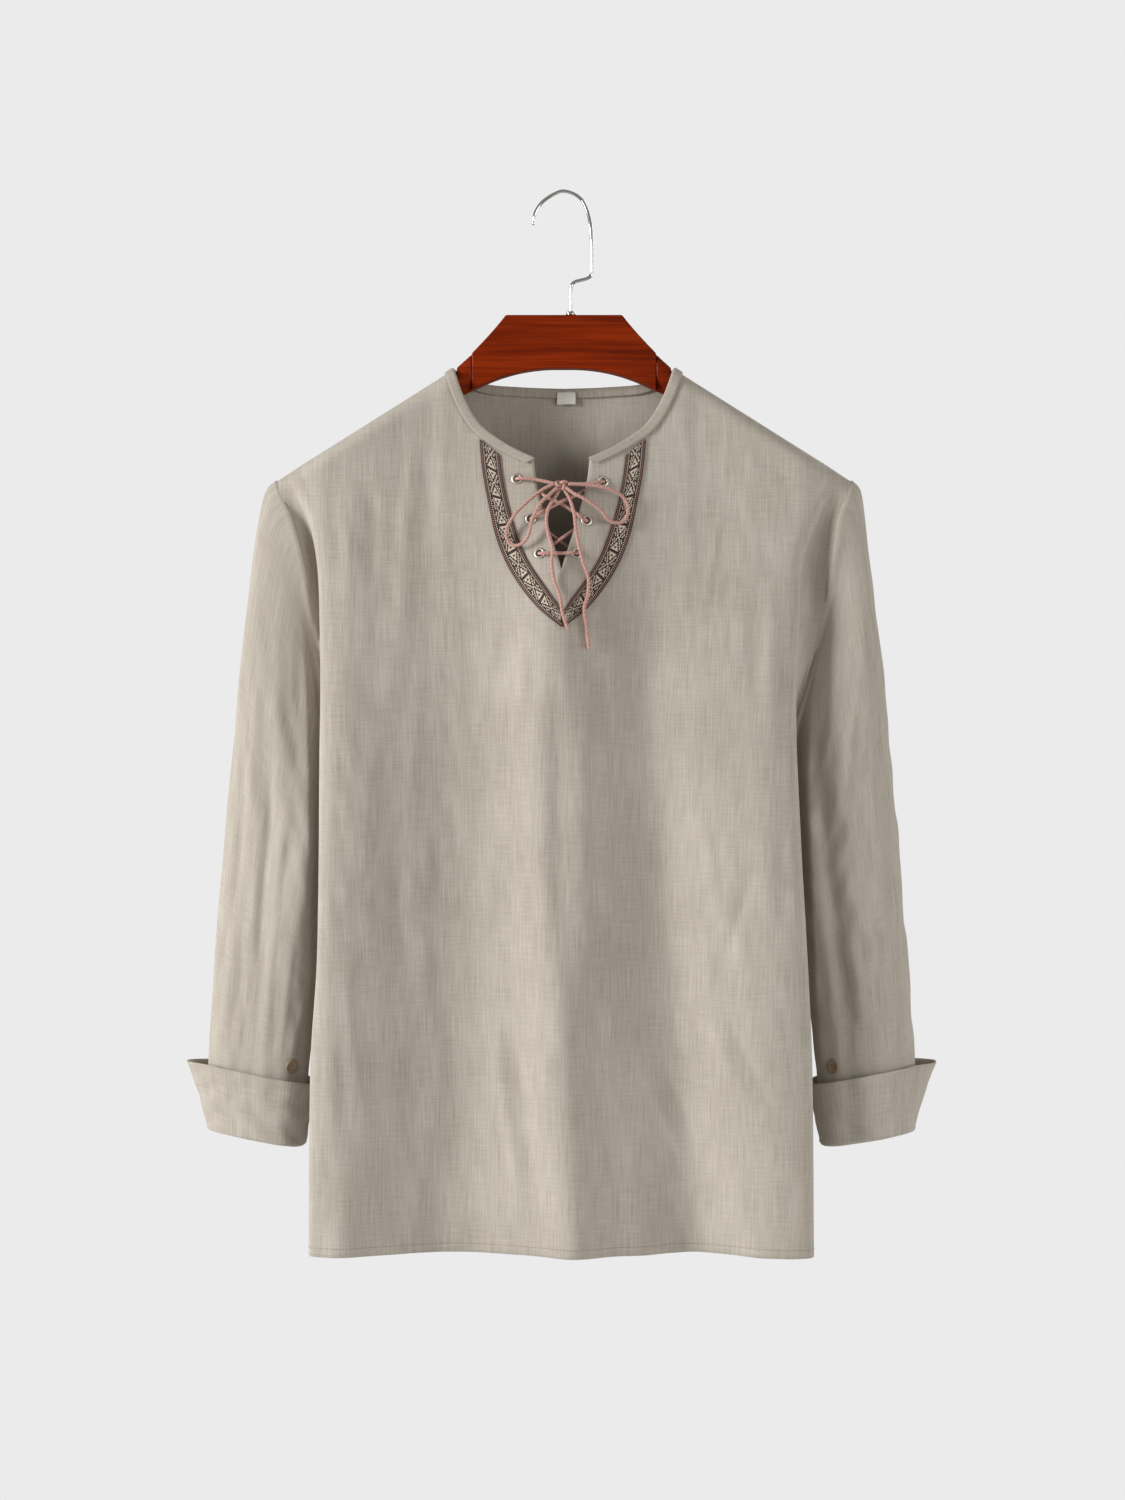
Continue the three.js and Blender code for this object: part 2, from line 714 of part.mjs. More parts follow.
// The lace: each point is x, z and the lift off the cloth, behind it where negative
const knotPlace = { x: -2, z: -237.3, lift: 6.5 };
const knotHalf = { x: 6, y: 4.4, z: 4.8 };
const lacingRoute = [
  [-7.9, -235.8, 4.9], [-22, -232.5, 3.8], [-34.2, -231.2, 4.2],
  [-37.2, -231.3, 1.8], [-37.2, -231.6, -1.4],
  [-34, -233.5, -3.6], [-22, -240.5, -3.2], [-12, -247, 0.6], [-3, -251.5, 2.4], [8, -258.5, 2.8],
  [14.8, -263.4, 4.2], [17.6, -265, 1.8], [17.6, -265.2, -1.2], [14.5, -267.5, -3.6], [-1, -278.5, -2.8],
  [-15.4, -288.3, -4.2], [-19, -291, -1.8], [-19.3, -291.3, 1.7], [-16.2, -291.5, 4.3], [-4.6, -291.5, 3],
  [7, -291.3, 4.3], [9.9, -291.2, 1.8], [9.9, -291, -1.6], [6.5, -288.5, -6.4], [-5, -279.5, -6.8],
  [-22.5, -266.5, -4.6], [-26, -263.8, -1.4], [-26.1, -263.5, 1.5], [-22.8, -261.6, 4.2], [-12, -256, 5.8],
  [-3, -251, 5.6], [5.5, -246.6, 1.6], [14, -242, -3], [26.8, -235.6, -4.1], [30.4, -233.8, -1.2],
  [30.7, -233.5, 1.6], [27.4, -234.2, 4.2], [16, -236, 3.8], [3.9, -236, 4.9],
];
const loopRight = [
  [-8.4, -236.9, 8.4], [-15, -240, 9], [-24, -246.5, 9.2],
  [-39, -261, 8.5], [-45.4, -274, 6.5], [-43, -283, 5],
  [-36.5, -285, 5], [-29, -279.5, 6.5], [-25, -265, 9.5], [-18, -251.5, 11.5], [-11, -245, 10.5],
  [-6.2, -240.2, 9],
];
const loopLeft = [
  [4.3, -236.7, 8.4], [20, -237.4, 9], [36, -240.5, 9], [46.5, -246.5, 6.5], [50.5, -256, 5],
  [46.5, -265.8, 5], [37.5, -266.3, 5.5], [28, -256.5, 8.5], [15, -248, 11], [8, -244.5, 10.5],
  [2.2, -240.2, 9],
];
const endRight = [
  [-4, -242, 6], [-7, -247, 7], [-11.5, -254.5, 9.2], [-13.8, -263, 9], [-12.5, -276, 7.4],
  [-9, -288, 7.8], [-9.6, -299, 6], [-8, -312, 3.4], [-3.2, -326, 3.2], [-1.2, -339, 4], [2.5, -350.5, 4],
];
const endLeft = [
  [0.6, -242, 6.4], [4, -247.5, 7], [7.8, -260, 8.6], [9.2, -272, 8], [11.6, -286, 8.8],
  [15, -298.5, 6.2], [19, -311, 3.4], [18.6, -324, 3.4], [15.8, -335, 4.2], [17.6, -350, 3.6],
  [19.4, -366, 2.8],
];

const laceCurve = (route) => new THREE.CatmullRomCurve3(
  route.map(([x, z, lift]) => onFront(x, z, lift)), false, 'centripetal');

function tube(curve, radius, sections, steps) {
  const outline = countTo(sections - 1).map((i) => {
    const angle = (2 * Math.PI * i) / sections;
    return new THREE.Vector2(radius * Math.cos(angle), radius * Math.sin(angle));
  });
  const shape = new THREE.Shape(outline);
  return new THREE.ExtrudeGeometry(shape, { steps, extrudePath: curve, bevelEnabled: false });
}

const laceTube = (route, steps) => tube(laceCurve(route), laceRadius, 8, steps);

function knot() {
  const ball = new THREE.SphereGeometry(1, 10, 7);
  ball.scale(knotHalf.x, knotHalf.y, knotHalf.z);
  const spot = onFront(knotPlace.x, knotPlace.z, knotPlace.lift);
  ball.translate(spot.x, spot.y, spot.z);
  return ball;
}

// Size label: a plain white tab inside the back neck, in front of the binding
const label = { startX: -5.5, top: -158, width: 15, height: 9, wall: 0.5, lift: 2.1 };

function sizeLabel() {
  const triangles = [];
  const inside = (row, column) => {
    const x = label.startX + label.width * column;
    const z = label.top - label.height * row;
    return new THREE.Vector3(x, backFace(x, z) + seamGap - clothWall - label.lift, z);
  };
  addGrid(triangles, [0, 0.5, 1], [0, 0.5, 1], inside, false);
  return wallOf(triangles, label.wall);
}

// Small round button on the inner side of a sleeve, just above the cuff
function sleeveButton(side) {
  const last = sleeveRings.length - 1;
  const angleStep = 9;
  const low = sleevePoint(side, last - 1, angleStep);
  const high = sleevePoint(side, last - 2, angleStep);
  const next = sleevePoint(side, last - 1, angleStep + 1);
  const spot = low.clone().lerp(high, 0.32);
  const normal = high.clone().sub(low).cross(next.clone().sub(low)).normalize();
  if (normal.x * side > 0) normal.negate();
  const profile = [
    new THREE.Vector2(0, 0.5),
    new THREE.Vector2(4.6, 0.5),
    new THREE.Vector2(5.4, 1.3),
    new THREE.Vector2(5.2, 2.2),
    new THREE.Vector2(4, 2.1),
    new THREE.Vector2(3.4, 1.6),
    new THREE.Vector2(0, 1.6),
  ];
  return placeOnNormal(new THREE.LatheGeometry(profile, 10), spot, normal);
}

// Hanger: a flat board in the middle and two arms that widen under the shoulders
const armHeights = table(
  ['x', 'top', 'bottom'],
  [
    [74.3, -129.6, -159],
    [80, -134.8, -161.5],
    [85.4, -139.6, -164],
    [86.4, -145.4, -164.6],
    [94, -149.8, -169],
    [106, -156.4, -177],
    [125, -167.4, -191],
    [150, -183.2, -208],
    [175, -199, -224],
    [195, -211.7, -235],
    [206, -218.9, -238],
    [214, -226.5, -236],
  ],
);

function board() {
  const outline = new THREE.Shape();
  outline.moveTo(46.5, -98.4);
  outline.lineTo(-46.5, -98.4);
  outline.quadraticCurveTo(-55, -110, -boardHalf, -129.1);
  outline.lineTo(-boardHalf, -158.6);
  outline.quadraticCurveTo(-42, -141.4, -8, -141);
  outline.lineTo(8, -141);
  outline.quadraticCurveTo(42, -141.4, boardHalf, -158.6);
  outline.lineTo(boardHalf, -129.1);
  outline.quadraticCurveTo(55, -110, 46.5, -98.4);
  const bevel = 1.4;
  const slab = new THREE.ExtrudeGeometry(outline, {
    depth: boardDepth - 2 * bevel, curveSegments: 8,
    bevelEnabled: true, bevelThickness: bevel, bevelSize: bevel, bevelOffset: -bevel, bevelSegments: 1,
  });
  slab.rotateX(Math.PI / 2);
  slab.translate(0, boardDepth / 2 - bevel, 0);
  const drill = new THREE.CylinderGeometry(2.1, 2.1, 24, 12);
  drill.rotateX(Math.PI / 2);
  drill.translate(hookStemX, 0, -104);
  return geometryOf(solidOf(slab).subtract(solidOf(drill)));
}

function arm(side) {
  const sectionSteps = 12;
  const rings = armHeights.map((row) => {
    const half = readTable(armDepths, 'x', row.x, 'half');
    const height = row.top - row.bottom;
    const round = Math.min(11.6, height / 2);
    return countTo(sectionSteps - 1).map((i) => {
      const angle = (2 * Math.PI * i) / sectionSteps;
      const up = Math.cos(angle);
      const z = up >= 0 ? row.top - round * (1 - up) : row.bottom + (height - round) * (1 + up) ** 0.75;
      return new THREE.Vector3(side * row.x, half * Math.sin(angle), z);
    });
  });
  if (side > 0) rings.forEach((ring) => ring.reverse());
  return sweep(rings, false);
}

// Hook: one wire from the board's top, up, over and down to the open tip
const hookCurve = new THREE.CatmullRomCurve3([
  new THREE.Vector3(hookStemX, 0, -114),
  new THREE.Vector3(hookStemX, 0, -96),
  new THREE.Vector3(hookStemX + 0.3, 0, -76),
  new THREE.Vector3(10.5, 0, -70.2),
  new THREE.Vector3(19, 0, -67.2),
  new THREE.Vector3(22.4, 0, -60),
  new THREE.Vector3(22, 0, -36),
  new THREE.Vector3(20.2, 0, -20),
  new THREE.Vector3(13.5, 0, -4.6),
  new THREE.Vector3(0, 0, hookWire),
  new THREE.Vector3(-8.5, 0, -1.2),
  new THREE.Vector3(-18, 0, -8),
  new THREE.Vector3(-23, 0, -16),
  new THREE.Vector3(-24.6, 0, -24.5),
], false, 'centripetal');

function collar() {
  const profile = [
    new THREE.Vector2(2, 0.3),
    new THREE.Vector2(4, 0.3),
    new THREE.Vector2(4, 2),
    new THREE.Vector2(2.9, 3.4),
    new THREE.Vector2(2, 3.4),
    new THREE.Vector2(2, 0.3),
  ];
  const ring = new THREE.LatheGeometry(profile, 16);
  ring.rotateX(Math.PI / 2);
  ring.translate(hookStemX, 0, -98.4);
  return ring;
}

// Finishes: [colour, roughness, metalness]
const finishes = {
  linen: [0xc1b8a9, 0.9, 0],
  inner: [0xa79c8b, 0.9, 0],
  binding: [0xb8ad9c, 0.9, 0],
  tape: [0x4a3a33, 0.85, 0],
  lace: [0xb58f83, 0.9, 0],
  steel: [0xb9b6b0, 0.3, 1],
  wood: [0x6b2208, 0.35, 0],
  white: [0xe8e6e2, 0.6, 0],
  button: [0x6d5340, 0.4, 0],
};

const group = new THREE.Group();
function add(name, geometry, finish) {
  const [color, roughness, metalness] = finishes[finish];
  const material = new THREE.MeshStandardMaterial({ color, roughness, metalness });
  const mesh = new THREE.Mesh(geometry, material);
  mesh.name = name;
  group.add(mesh);
}

add('front', frontPanel(), 'linen');
add('back', backPanel(), 'inner');
for (const [side, name] of [[-1, 'right'], [1, 'left']]) {
  add(`sleeve_${name}`, sleeve(side), 'linen');
  add(`cuff_${name}`, cuff(side), 'linen');
  add(`trim_tape_${name}`, tape(side), 'tape');
  add(`sleeve_button_${name}`, sleeveButton(side), 'button');
  add(`hanger_arm_${name}`, arm(side), 'wood');
}
add('neck_binding', neckBinding(), 'binding');
eyeletPlaces.forEach((place, i) => add(`eyelet_${eyeletNames[i]}`, eyelet(place), 'steel'));
add('lace_lacing', laceTube(lacingRoute, 66), 'lace');
add('lace_knot', knot(), 'lace');
add('lace_loop_right', laceTube(loopRight, 22), 'lace');
add('lace_loop_left', laceTube(loopLeft, 22), 'lace');
add('lace_end_right', laceTube(endRight, 22), 'lace');
add('lace_end_left', laceTube(endLeft, 24), 'lace');
add('size_label', sizeLabel(), 'white');
add('hanger_board', board(), 'wood');
add('hanger_hook', tube(hookCurve, hookWire, 8, 34), 'steel');
add('hook_collar', collar(), 'steel');

export default group;
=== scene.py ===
# Laced linen shirt on its wooden hanger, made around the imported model.
# Shapes are worked out in millimetres, as in the solids, and become metres in the meshes.
import math

import bmesh
import bpy
import numpy as np
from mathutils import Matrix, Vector


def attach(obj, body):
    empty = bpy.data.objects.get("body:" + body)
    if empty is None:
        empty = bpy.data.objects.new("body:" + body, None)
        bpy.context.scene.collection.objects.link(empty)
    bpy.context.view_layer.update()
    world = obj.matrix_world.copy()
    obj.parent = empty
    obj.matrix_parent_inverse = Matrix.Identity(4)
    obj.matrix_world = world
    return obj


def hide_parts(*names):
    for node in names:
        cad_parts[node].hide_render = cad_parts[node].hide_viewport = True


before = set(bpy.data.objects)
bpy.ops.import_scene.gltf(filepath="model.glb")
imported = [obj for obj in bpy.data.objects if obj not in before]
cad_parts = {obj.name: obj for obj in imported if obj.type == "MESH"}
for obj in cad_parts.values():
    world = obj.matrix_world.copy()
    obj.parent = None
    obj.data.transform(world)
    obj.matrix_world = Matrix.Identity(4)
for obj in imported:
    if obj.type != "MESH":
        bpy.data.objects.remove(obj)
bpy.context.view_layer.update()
mm = 0.001
print("frame loaded")


# Small sums used everywhere

def mix(a, b, share):
    return a + (b - a) * share


def clamp01(value):
    return np.clip(value, 0.0, 1.0)


def ease(value):
    share = clamp01(value)
    return share * share * (3 - 2 * share)


def bump(value, centre, width):
    return np.exp(-(((value - centre) / width) ** 2))


def unit(vectors, least=1e-6):
    return vectors / np.maximum(np.linalg.norm(vectors, axis=-1, keepdims=True), least)


# How far along a line each of its points is
def reachAlong(line):
    return np.concatenate([[0], np.cumsum(np.linalg.norm(np.diff(line, axis=0), axis=1))])


# A smooth reading of a table between its places, held at both ends
def readTable(table, key, name, value):
    places, numbers = np.array(table[key], float), np.array(table[name], float)
    if places[0] > places[-1]:
        places, value = -places, -value
    last = len(places) - 1
    before = np.clip(np.arange(last + 1) - 1, 0, last)
    after = np.clip(np.arange(last + 1) + 1, 0, last)
    slopes = (numbers[after] - numbers[before]) / (places[after] - places[before])
    value = np.clip(value, places[0], places[-1])
    k = np.clip(np.searchsorted(places, value, side="right") - 1, 0, last - 1)
    span = places[k + 1] - places[k]
    share = (value - places[k]) / span
    rise = numbers[k + 1] - numbers[k]
    start, end = slopes[k] * span, slopes[k + 1] * span
    turn = 3 * rise - 2 * start - end
    return numbers[k] + share * (start + share * (turn + share * (start + end - 2 * rise)))


# A place on a Catmull-Rom line through the points, share = 0 at the first and 1 at the last
def smoothLine(points, share):
    points = np.asarray(points, float)
    share = np.asarray(share, float)
    last = len(points) - 1
    place = clamp01(share) * last
    k = np.clip(np.floor(place).astype(int), 0, last - 1)
    t = (place - k).reshape(place.shape + (1,) * (points.ndim - 1))
    p1, p2 = points[k], points[k + 1]
    start = (p2 - points[np.maximum(k - 1, 0)]) / 2
    end = (points[np.minimum(k + 2, last)] - p1) / 2
    return p1 + t * (start + t * (3 * (p2 - p1) - 2 * start - end + t * (start + end - 2 * (p2 - p1))))


# The shirt's measures in mm, the same as the solids were made from
shirt = {
    "seamGap": 0.4, "sleeveGap": 1.3, "neckHalf": 89.2, "neckLevel": -142,
    "shoulderHalf": 229, "shoulderSlope": 0.634, "underarmLevel": -460, "hemLevel": -840,
    "middleShift": -2, "frontDepth": 50, "backDepth": 42, "drapeDrop": 330,
    "cornerRound": 9, "ridgeHeight": 14, "armClearance": 2.4, "neckEase": 2.2,
    "slitFoot": -304, "middleChest": -358, "faceColumns": 11, "rollColumns": 5,
    "armholeRows": 12, "skirtRows": 10, "neckRows": 5, "slitRows": 4,
    "armholeSpread": 1.35, "cornerRise": 13.3, "cornerRows": 9, "frontRoll": 17, "backRoll": 12,
    "backNeckColumns": 6, "backNeckSpread": 2.4,
}

# How the sides run, from the shoulder point down to the hem
sides = {
    "z": [-230.6, -242, -262, -300, -345, -400, -440, -460, -520, -610, -690, -840],
    "rightEdge": [218, 214, 204, 196, 193, 191.5, 191.5, 191.5, 191.5, 193, 198, 199.5],
    "leftEdge": [218, 212, 201, 189, 186, 182.5, 182, 182.5, 185, 190, 193.5, 194.6],
    "roll": [0, 0.3, 0.7, 1, 1, 1, 1, 1, 1, 1, 1, 1],
    "tuck": [0, 0, 0, 1, 2, 4, 5, 5, 5, 5, 5, 5],
    "dip": [0, -1, -3, -5, -4, 0, 0, 0, 0, 0, 0, 0],
    "rightEnd": [229, 226, 217, 207, 199, 187, 171, 160, 142, 138, 138, 142],
    "leftEnd": [229, 226, 220, 214, 206, 189, 171, 160, 142, 138, 138, 142],
    "frontEnd": [10, 12, 15, 16, 14, 10, 6, 0, 0, 0, 0, 0],
    "backEnd": [10, 12, 14, 16, 14, 10, 6, 0, 0, 0, 0, 0],
}
armDepths = {
    "x": [74, 90, 120, 155, 185, 200, 208, 214],
    "half": [6.5, 7.5, 11, 15.5, 17.5, 15.5, 12, 6],
}

# Long soft folds: middle at the chest, middle at the hem, width, depth at the chest, depth at the hem.
# They begin below foldStart, over foldFade mm.
foldStart, foldFade, chestLevel = -225, 190, -400
frontFolds = [
    (-175, -174, 24, 5, 8), (-80, -86, 48, -13, -18), (-11, 7, 24, 10, 15),
    (66, 104, 33, -12, -18), (158, 172, 42, 8, 12),
]
backFolds = [
    (-120, -132, 36, -3, -9), (-52, -60, 30, 2, 9), (10, 14, 34, -3, -9),
    (78, 84, 30, 2, 9), (140, 150, 30, -2, -7),
]

# Small folds that the solids leave out: from x, z to x, z, half width and height
frontCreases = [
    (-8, -352, -3, -640, 8, -2.2), (18, -340, 14, -700, 11, 3.0),
    (-50.7, -292, -70, -322, 4, -1.3), (-56, -290, -84, -330, 6, 1.2),
    (131, -182, 126, -246, 2.2, 0.7), (127, -240, 105, -360, 2.4, 0.8),
    (160, -222, 212, -232, 3.2, 1.1), (150, -214, 205, -240, 6, -0.8),
    (-58, -640, -30, -830, 5, 1.1), (-42, -650, -18, -812, 4, -1.0),
    (62, -700, 96, -772, 4.5, 1.1), (74, -690, 108, -760, 4, -0.9),
    (96, -470, 140, -620, 7, 1.2), (150, -520, 118, -640, 5, -1.0),
    (104, -640, 158, -752, 5, 1.2), (118, -636, 170, -742, 4, -1.0),
    (-120, -200, -128, -300, 4, 0.7), (-148, -216, -152, -330, 6, -1.0),
    (-104, -190, -112, -292, 5, -0.7), (-172, -236, -168, -360, 5, 0.9),
    (-30, -330, -36, -440, 6, 1.2), (-44, -332, -60, -450, 7, -1.2),
    (34, -336, 44, -450, 7, 1.1), (48, -322, 62, -440, 6, -1.0),
    (-150, -420, -158, -560, 8, 1.1), (-132, -500, -126, -640, 7, -1.0),
    (-176, -600, -170, -760, 5, -0.9), (176, -330, 171, -470, 6, -1.2),
    (164, -300, 158, -430, 5, 0.9), (30, -560, 40, -700, 7, 1.0),
]
backCreases = [
    (-150, -230, -120, -380, 8, 1.5), (150, -230, 118, -390, 8, 1.5),
    (-60, -190, -70, -330, 9, -1.2), (70, -190, 62, -350, 9, -1.2),
    (-20, -420, -44, -600, 8, 1.4), (36, -440, 60, -640, 8, 1.4),
    (-110, -560, -86, -720, 6, -1.2), (120, -600, 90, -740, 6, -1.2),
    (0, -660, 22, -800, 6, 1.1),
]


def creaseDepth(creases, x, z):
    depth = 0
    for fromX, fromZ, toX, toZ, width, height in creases:
        alongX, alongZ = toX - fromX, toZ - fromZ
        length = math.hypot(alongX, alongZ)
        share = ((x - fromX) * alongX + (z - fromZ) * alongZ) / length ** 2
        away = ((x - fromX) * alongZ - (z - fromZ) * alongX) / length
        depth = depth + height * bump(away, 0, width) * ease(share / 0.35) * ease((1 - share) / 0.35)
    return depth


# Washed linen never hangs flat: low waves, mostly upright, each fading in and out
def crumple(across, down, seed, count, shortest, longest, lean):
    random = np.random.default_rng(seed)
    total = 0
    for _ in range(count):
        length, angle = random.uniform(shortest, longest), random.normal(0, lean)
        shift = random.uniform(0, 2 * math.pi, 2)
        place, reach = random.uniform(-900, 0), random.uniform(60, 160)
        wave = np.sin((across * math.cos(angle) + down * math.sin(angle)) * 2 * math.pi / length + shift[0])
        spread = np.sin(across / (1.4 * longest) * 2 * math.pi + shift[1])
        patch = bump(down, place, reach) * (0.5 + 0.5 * spread)
        total = total + wave * patch * length / longest
    return total


def shoulderLine(x):
    return shirt["neckLevel"] - shirt["shoulderSlope"] * (np.abs(x) - shirt["neckHalf"])


def ridgeArc(below):
    return np.sqrt(1 - (1 - clamp01(below / shirt["ridgeHeight"])) ** 2)


def drapedDepth(x, z, fullDepth):
    across = np.abs(x)
    below = np.maximum(0, shoulderLine(x) - z)
    nearNeck = shirt["neckEase"] * (1 - ease((across - 94) / 14))
    ridge = readTable(armDepths, "x", "half", across) + shirt["armClearance"] + nearNeck
    return ridge * ridgeArc(below) + (fullDepth - ridge) * ease(below / shirt["drapeDrop"])


def foldDepth(folds, x, z):
    down = clamp01((chestLevel - z) / (chestLevel - shirt["hemLevel"]))
    depth = 0
    for chestX, hemX, width, chestDepth, hemDepth in folds:
        depth = depth + mix(chestDepth, hemDepth, down) * bump(x, mix(chestX, hemX, down * down), width)
    return depth * ease((foldStart - z) / foldFade)


def frontFace(x, z):
    nearNeck = ease((np.hypot(x / 75, (z + 250) / 90) - 1) / 0.6)
    low = ease((shoulderLine(x) - z) / 40)
    waves = crumple(x, z, seed=11, count=60, shortest=12, longest=52, lean=0.28)
    loose = 1.35 * creaseDepth(frontCreases, x, z) + 0.36 * waves
    return drapedDepth(x, z, shirt["frontDepth"]) + foldDepth(frontFolds, x, z) + loose * nearNeck * low


def backFace(x, z):
    collar = 7 * ease(1 - np.abs(x) / 110) * (1 - ease((-150 - z) / 160))
    low = ease((np.minimum(shoulderLine(x), -154) - z) / 60)
    waves = crumple(x, z, seed=23, count=60, shortest=16, longest=70, lean=0.45)
    loose = creaseDepth(backCreases, x, z) + 0.7 * waves
    return drapedDepth(x, z, shirt["backDepth"]) + collar + foldDepth(backFolds, x, z) + loose * low


def sideValue(side, z, name):
    return readTable(sides, "z", ("left" if side > 0 else "right") + name, z)


def sideDepth(z, facing):
    high = shoulderLine(shirt["shoulderHalf"])
    return ridgeArc(high - z) * readTable(sides, "z", "frontEnd" if facing < 0 else "backEnd", z)


def armholeLevel(row):
    top = shoulderLine(shirt["shoulderHalf"])
    return mix(top, shirt["underarmLevel"], clamp01(row / shirt["armholeRows"]) ** shirt["armholeSpread"])


def endLevel(row):
    below = clamp01((row - shirt["armholeRows"]) / shirt["skirtRows"])
    low = mix(shirt["underarmLevel"], shirt["hemLevel"], below)
    return np.where(row <= shirt["armholeRows"], armholeLevel(row), low)


def faceEndLevel(row):
    return endLevel(row) + shirt["cornerRise"] * (1 - clamp01(row / shirt["cornerRows"])) ** 2


def faceEndX(side, row):
    return sideValue(side, endLevel(row), "Edge") - shirt["cornerRound"]


# The part that rolls back at the side, along = 0 at the face and 1 at the armhole or side seam
def rolled(side, row, share, facing, faceDepth):
    z = endLevel(row)
    edge = sideValue(side, z, "Edge")
    roll, tuck, dip = (readTable(sides, "z", name, z) for name in ("roll", "tuck", "dip"))
    thick = shirt["frontRoll" if facing < 0 else "backRoll"] * roll
    endX, endY = sideValue(side, z, "End"), sideDepth(z, facing)
    behind = (edge - tuck, faceDepth - thick)
    stations = np.array([
        (edge - shirt["cornerRound"], faceDepth),
        (edge - 2, faceDepth - 0.2 * thick),
        (edge, faceDepth - 0.6 * thick),
        behind,
        ((behind[0] + endX) / 2, (behind[1] + endY) / 2 + dip),
        (endX, endY),
    ])
    stations = np.moveaxis(stations, 1, -1)
    curved = np.swapaxes(smoothLine(stations, share), 0, 1)
    straight = mix(stations[0][:, None], stations[-1][:, None], share[None, :, None])
    spot = mix(straight, curved, roll[:, None, None])
    level = mix(faceEndLevel(row)[:, None], z[:, None], share[None])
    return np.stack([side * spot[..., 0], facing * (spot[..., 1] + shirt["seamGap"]), level], -1)


neckCurve = [(89.2, -142), (80.5, -166), (66.5, -188.5), (44, -205), (22, -216)]
slitCurve = [(22, -216), (19.5, -235), (11.5, -266), (2, -297)]
backNeckCurve = [(0, -155.5), (34, -154.8), (66, -152.2), (89.2, -142)]


def backNeckLine(column):
    share = clamp01(column / shirt["backNeckColumns"])
    return smoothLine(backNeckCurve, 1 - (1 - share) ** shirt["backNeckSpread"])


def innerEdge(row):
    neck, slit = shirt["neckRows"], shirt["neckRows"] + shirt["slitRows"]
    edge = smoothLine(neckCurve, row / neck)
    edge = np.where((row > neck)[:, None], smoothLine(slitCurve, (row - neck) / shirt["slitRows"]), edge)
    seam = np.array([(2, -297), (0, shirt["slitFoot"]), (0, (shirt["slitFoot"] + shirt["middleChest"]) / 2),
                     (0, shirt["middleChest"])], float)
    place = np.clip(row - slit, 0, 3)
    k = np.minimum(place.astype(int), 2)
    chest = mix(seam[k], seam[k + 1], (place - k)[:, None])
    edge = np.where((row > slit)[:, None], chest, edge)
    skirt = clamp01((row - shirt["armholeRows"]) / shirt["skirtRows"])
    low = np.stack([0 * skirt, mix(shirt["middleChest"], shirt["hemLevel"], skirt)], -1)
    return np.where((row > shirt["armholeRows"])[:, None], low, edge)


def frontHalf(side, row, column):
    inner = innerEdge(row)
    endX = faceEndX(side, row)
    face = column[column <= shirt["faceColumns"]] / shirt["faceColumns"]
    across = mix(inner[:, :1], endX[:, None], face[None])
    x = side * across + shirt["middleShift"] * (1 - ease(across / 120))
    z = mix(inner[:, 1:], faceEndLevel(row)[:, None], face[None])
    flat = np.stack([x, -(frontFace(x, z) + shirt["seamGap"]), z], -1)
    share = (column[column > shirt["faceColumns"]] - shirt["faceColumns"]) / shirt["rollColumns"]
    depth = frontFace(side * endX, faceEndLevel(row))
    return np.concatenate([flat, rolled(side, row, share, -1, depth)], 1)


def backHalf(side, row, column):
    endX = faceEndX(side, row)
    faceColumn = column[column <= shirt["faceColumns"]]
    share = faceColumn / shirt["faceColumns"]
    pastNeck = faceColumn - shirt["backNeckColumns"]
    slope = clamp01(pastNeck / (shirt["faceColumns"] - shirt["backNeckColumns"]))[:, None]
    shoulderEnd = np.array([faceEndX(side, np.zeros(1))[0], faceEndLevel(np.zeros(1))[0]])
    shoulder = mix(np.array([shirt["neckHalf"], shirt["neckLevel"]]), shoulderEnd, slope)
    top = np.where((pastNeck <= 0)[:, None], backNeckLine(faceColumn), shoulder)
    highest = faceEndLevel(np.zeros(1))[0]
    outerFall = (highest - faceEndLevel(row)) / (highest - shirt["hemLevel"])
    yokeFall = 0.3 * clamp01(row / shirt["armholeRows"]) ** shirt["armholeSpread"]
    centreFall = mix(yokeFall, 1, clamp01((row - shirt["armholeRows"]) / shirt["skirtRows"]))
    fall = mix(centreFall[:, None], outerFall[:, None], share[None])
    settle = ease(row / shirt["armholeRows"])[:, None]
    x = side * mix(top[None, :, 0], endX[:, None] * share[None], settle)
    x = x * mix(1, side * endX[:, None] / x[:, -1:], share[None] ** 3)
    z = mix(top[None, :, 1], shirt["hemLevel"], fall)
    flat = np.stack([x, backFace(x, z) + shirt["seamGap"], z], -1)
    rollShare = (column[column > shirt["faceColumns"]] - shirt["faceColumns"]) / shirt["rollColumns"]
    depth = backFace(side * endX, faceEndLevel(row))
    return np.concatenate([flat, rolled(side, row, rollShare, 1, depth)], 1)


# A place on the front: lift in front of the cloth, or behind it where negative
def onFront(x, z, lift, wall=1.2):
    x, z, lift = (np.asarray(v, float) for v in (x, z, lift))
    y = -(frontFace(x, z) + shirt["seamGap"])
    return np.stack([x + 0 * y, np.where(lift >= 0, y - lift, y + wall - lift), z + 0 * y], -1)


def frontNormal(x, z):
    slopeX = (frontFace(x + 3, z) - frontFace(x - 3, z)) / 6
    slopeZ = (frontFace(x, z + 3) - frontFace(x, z - 3)) / 6
    return Vector((-slopeX, -1, -slopeZ)).normalized()


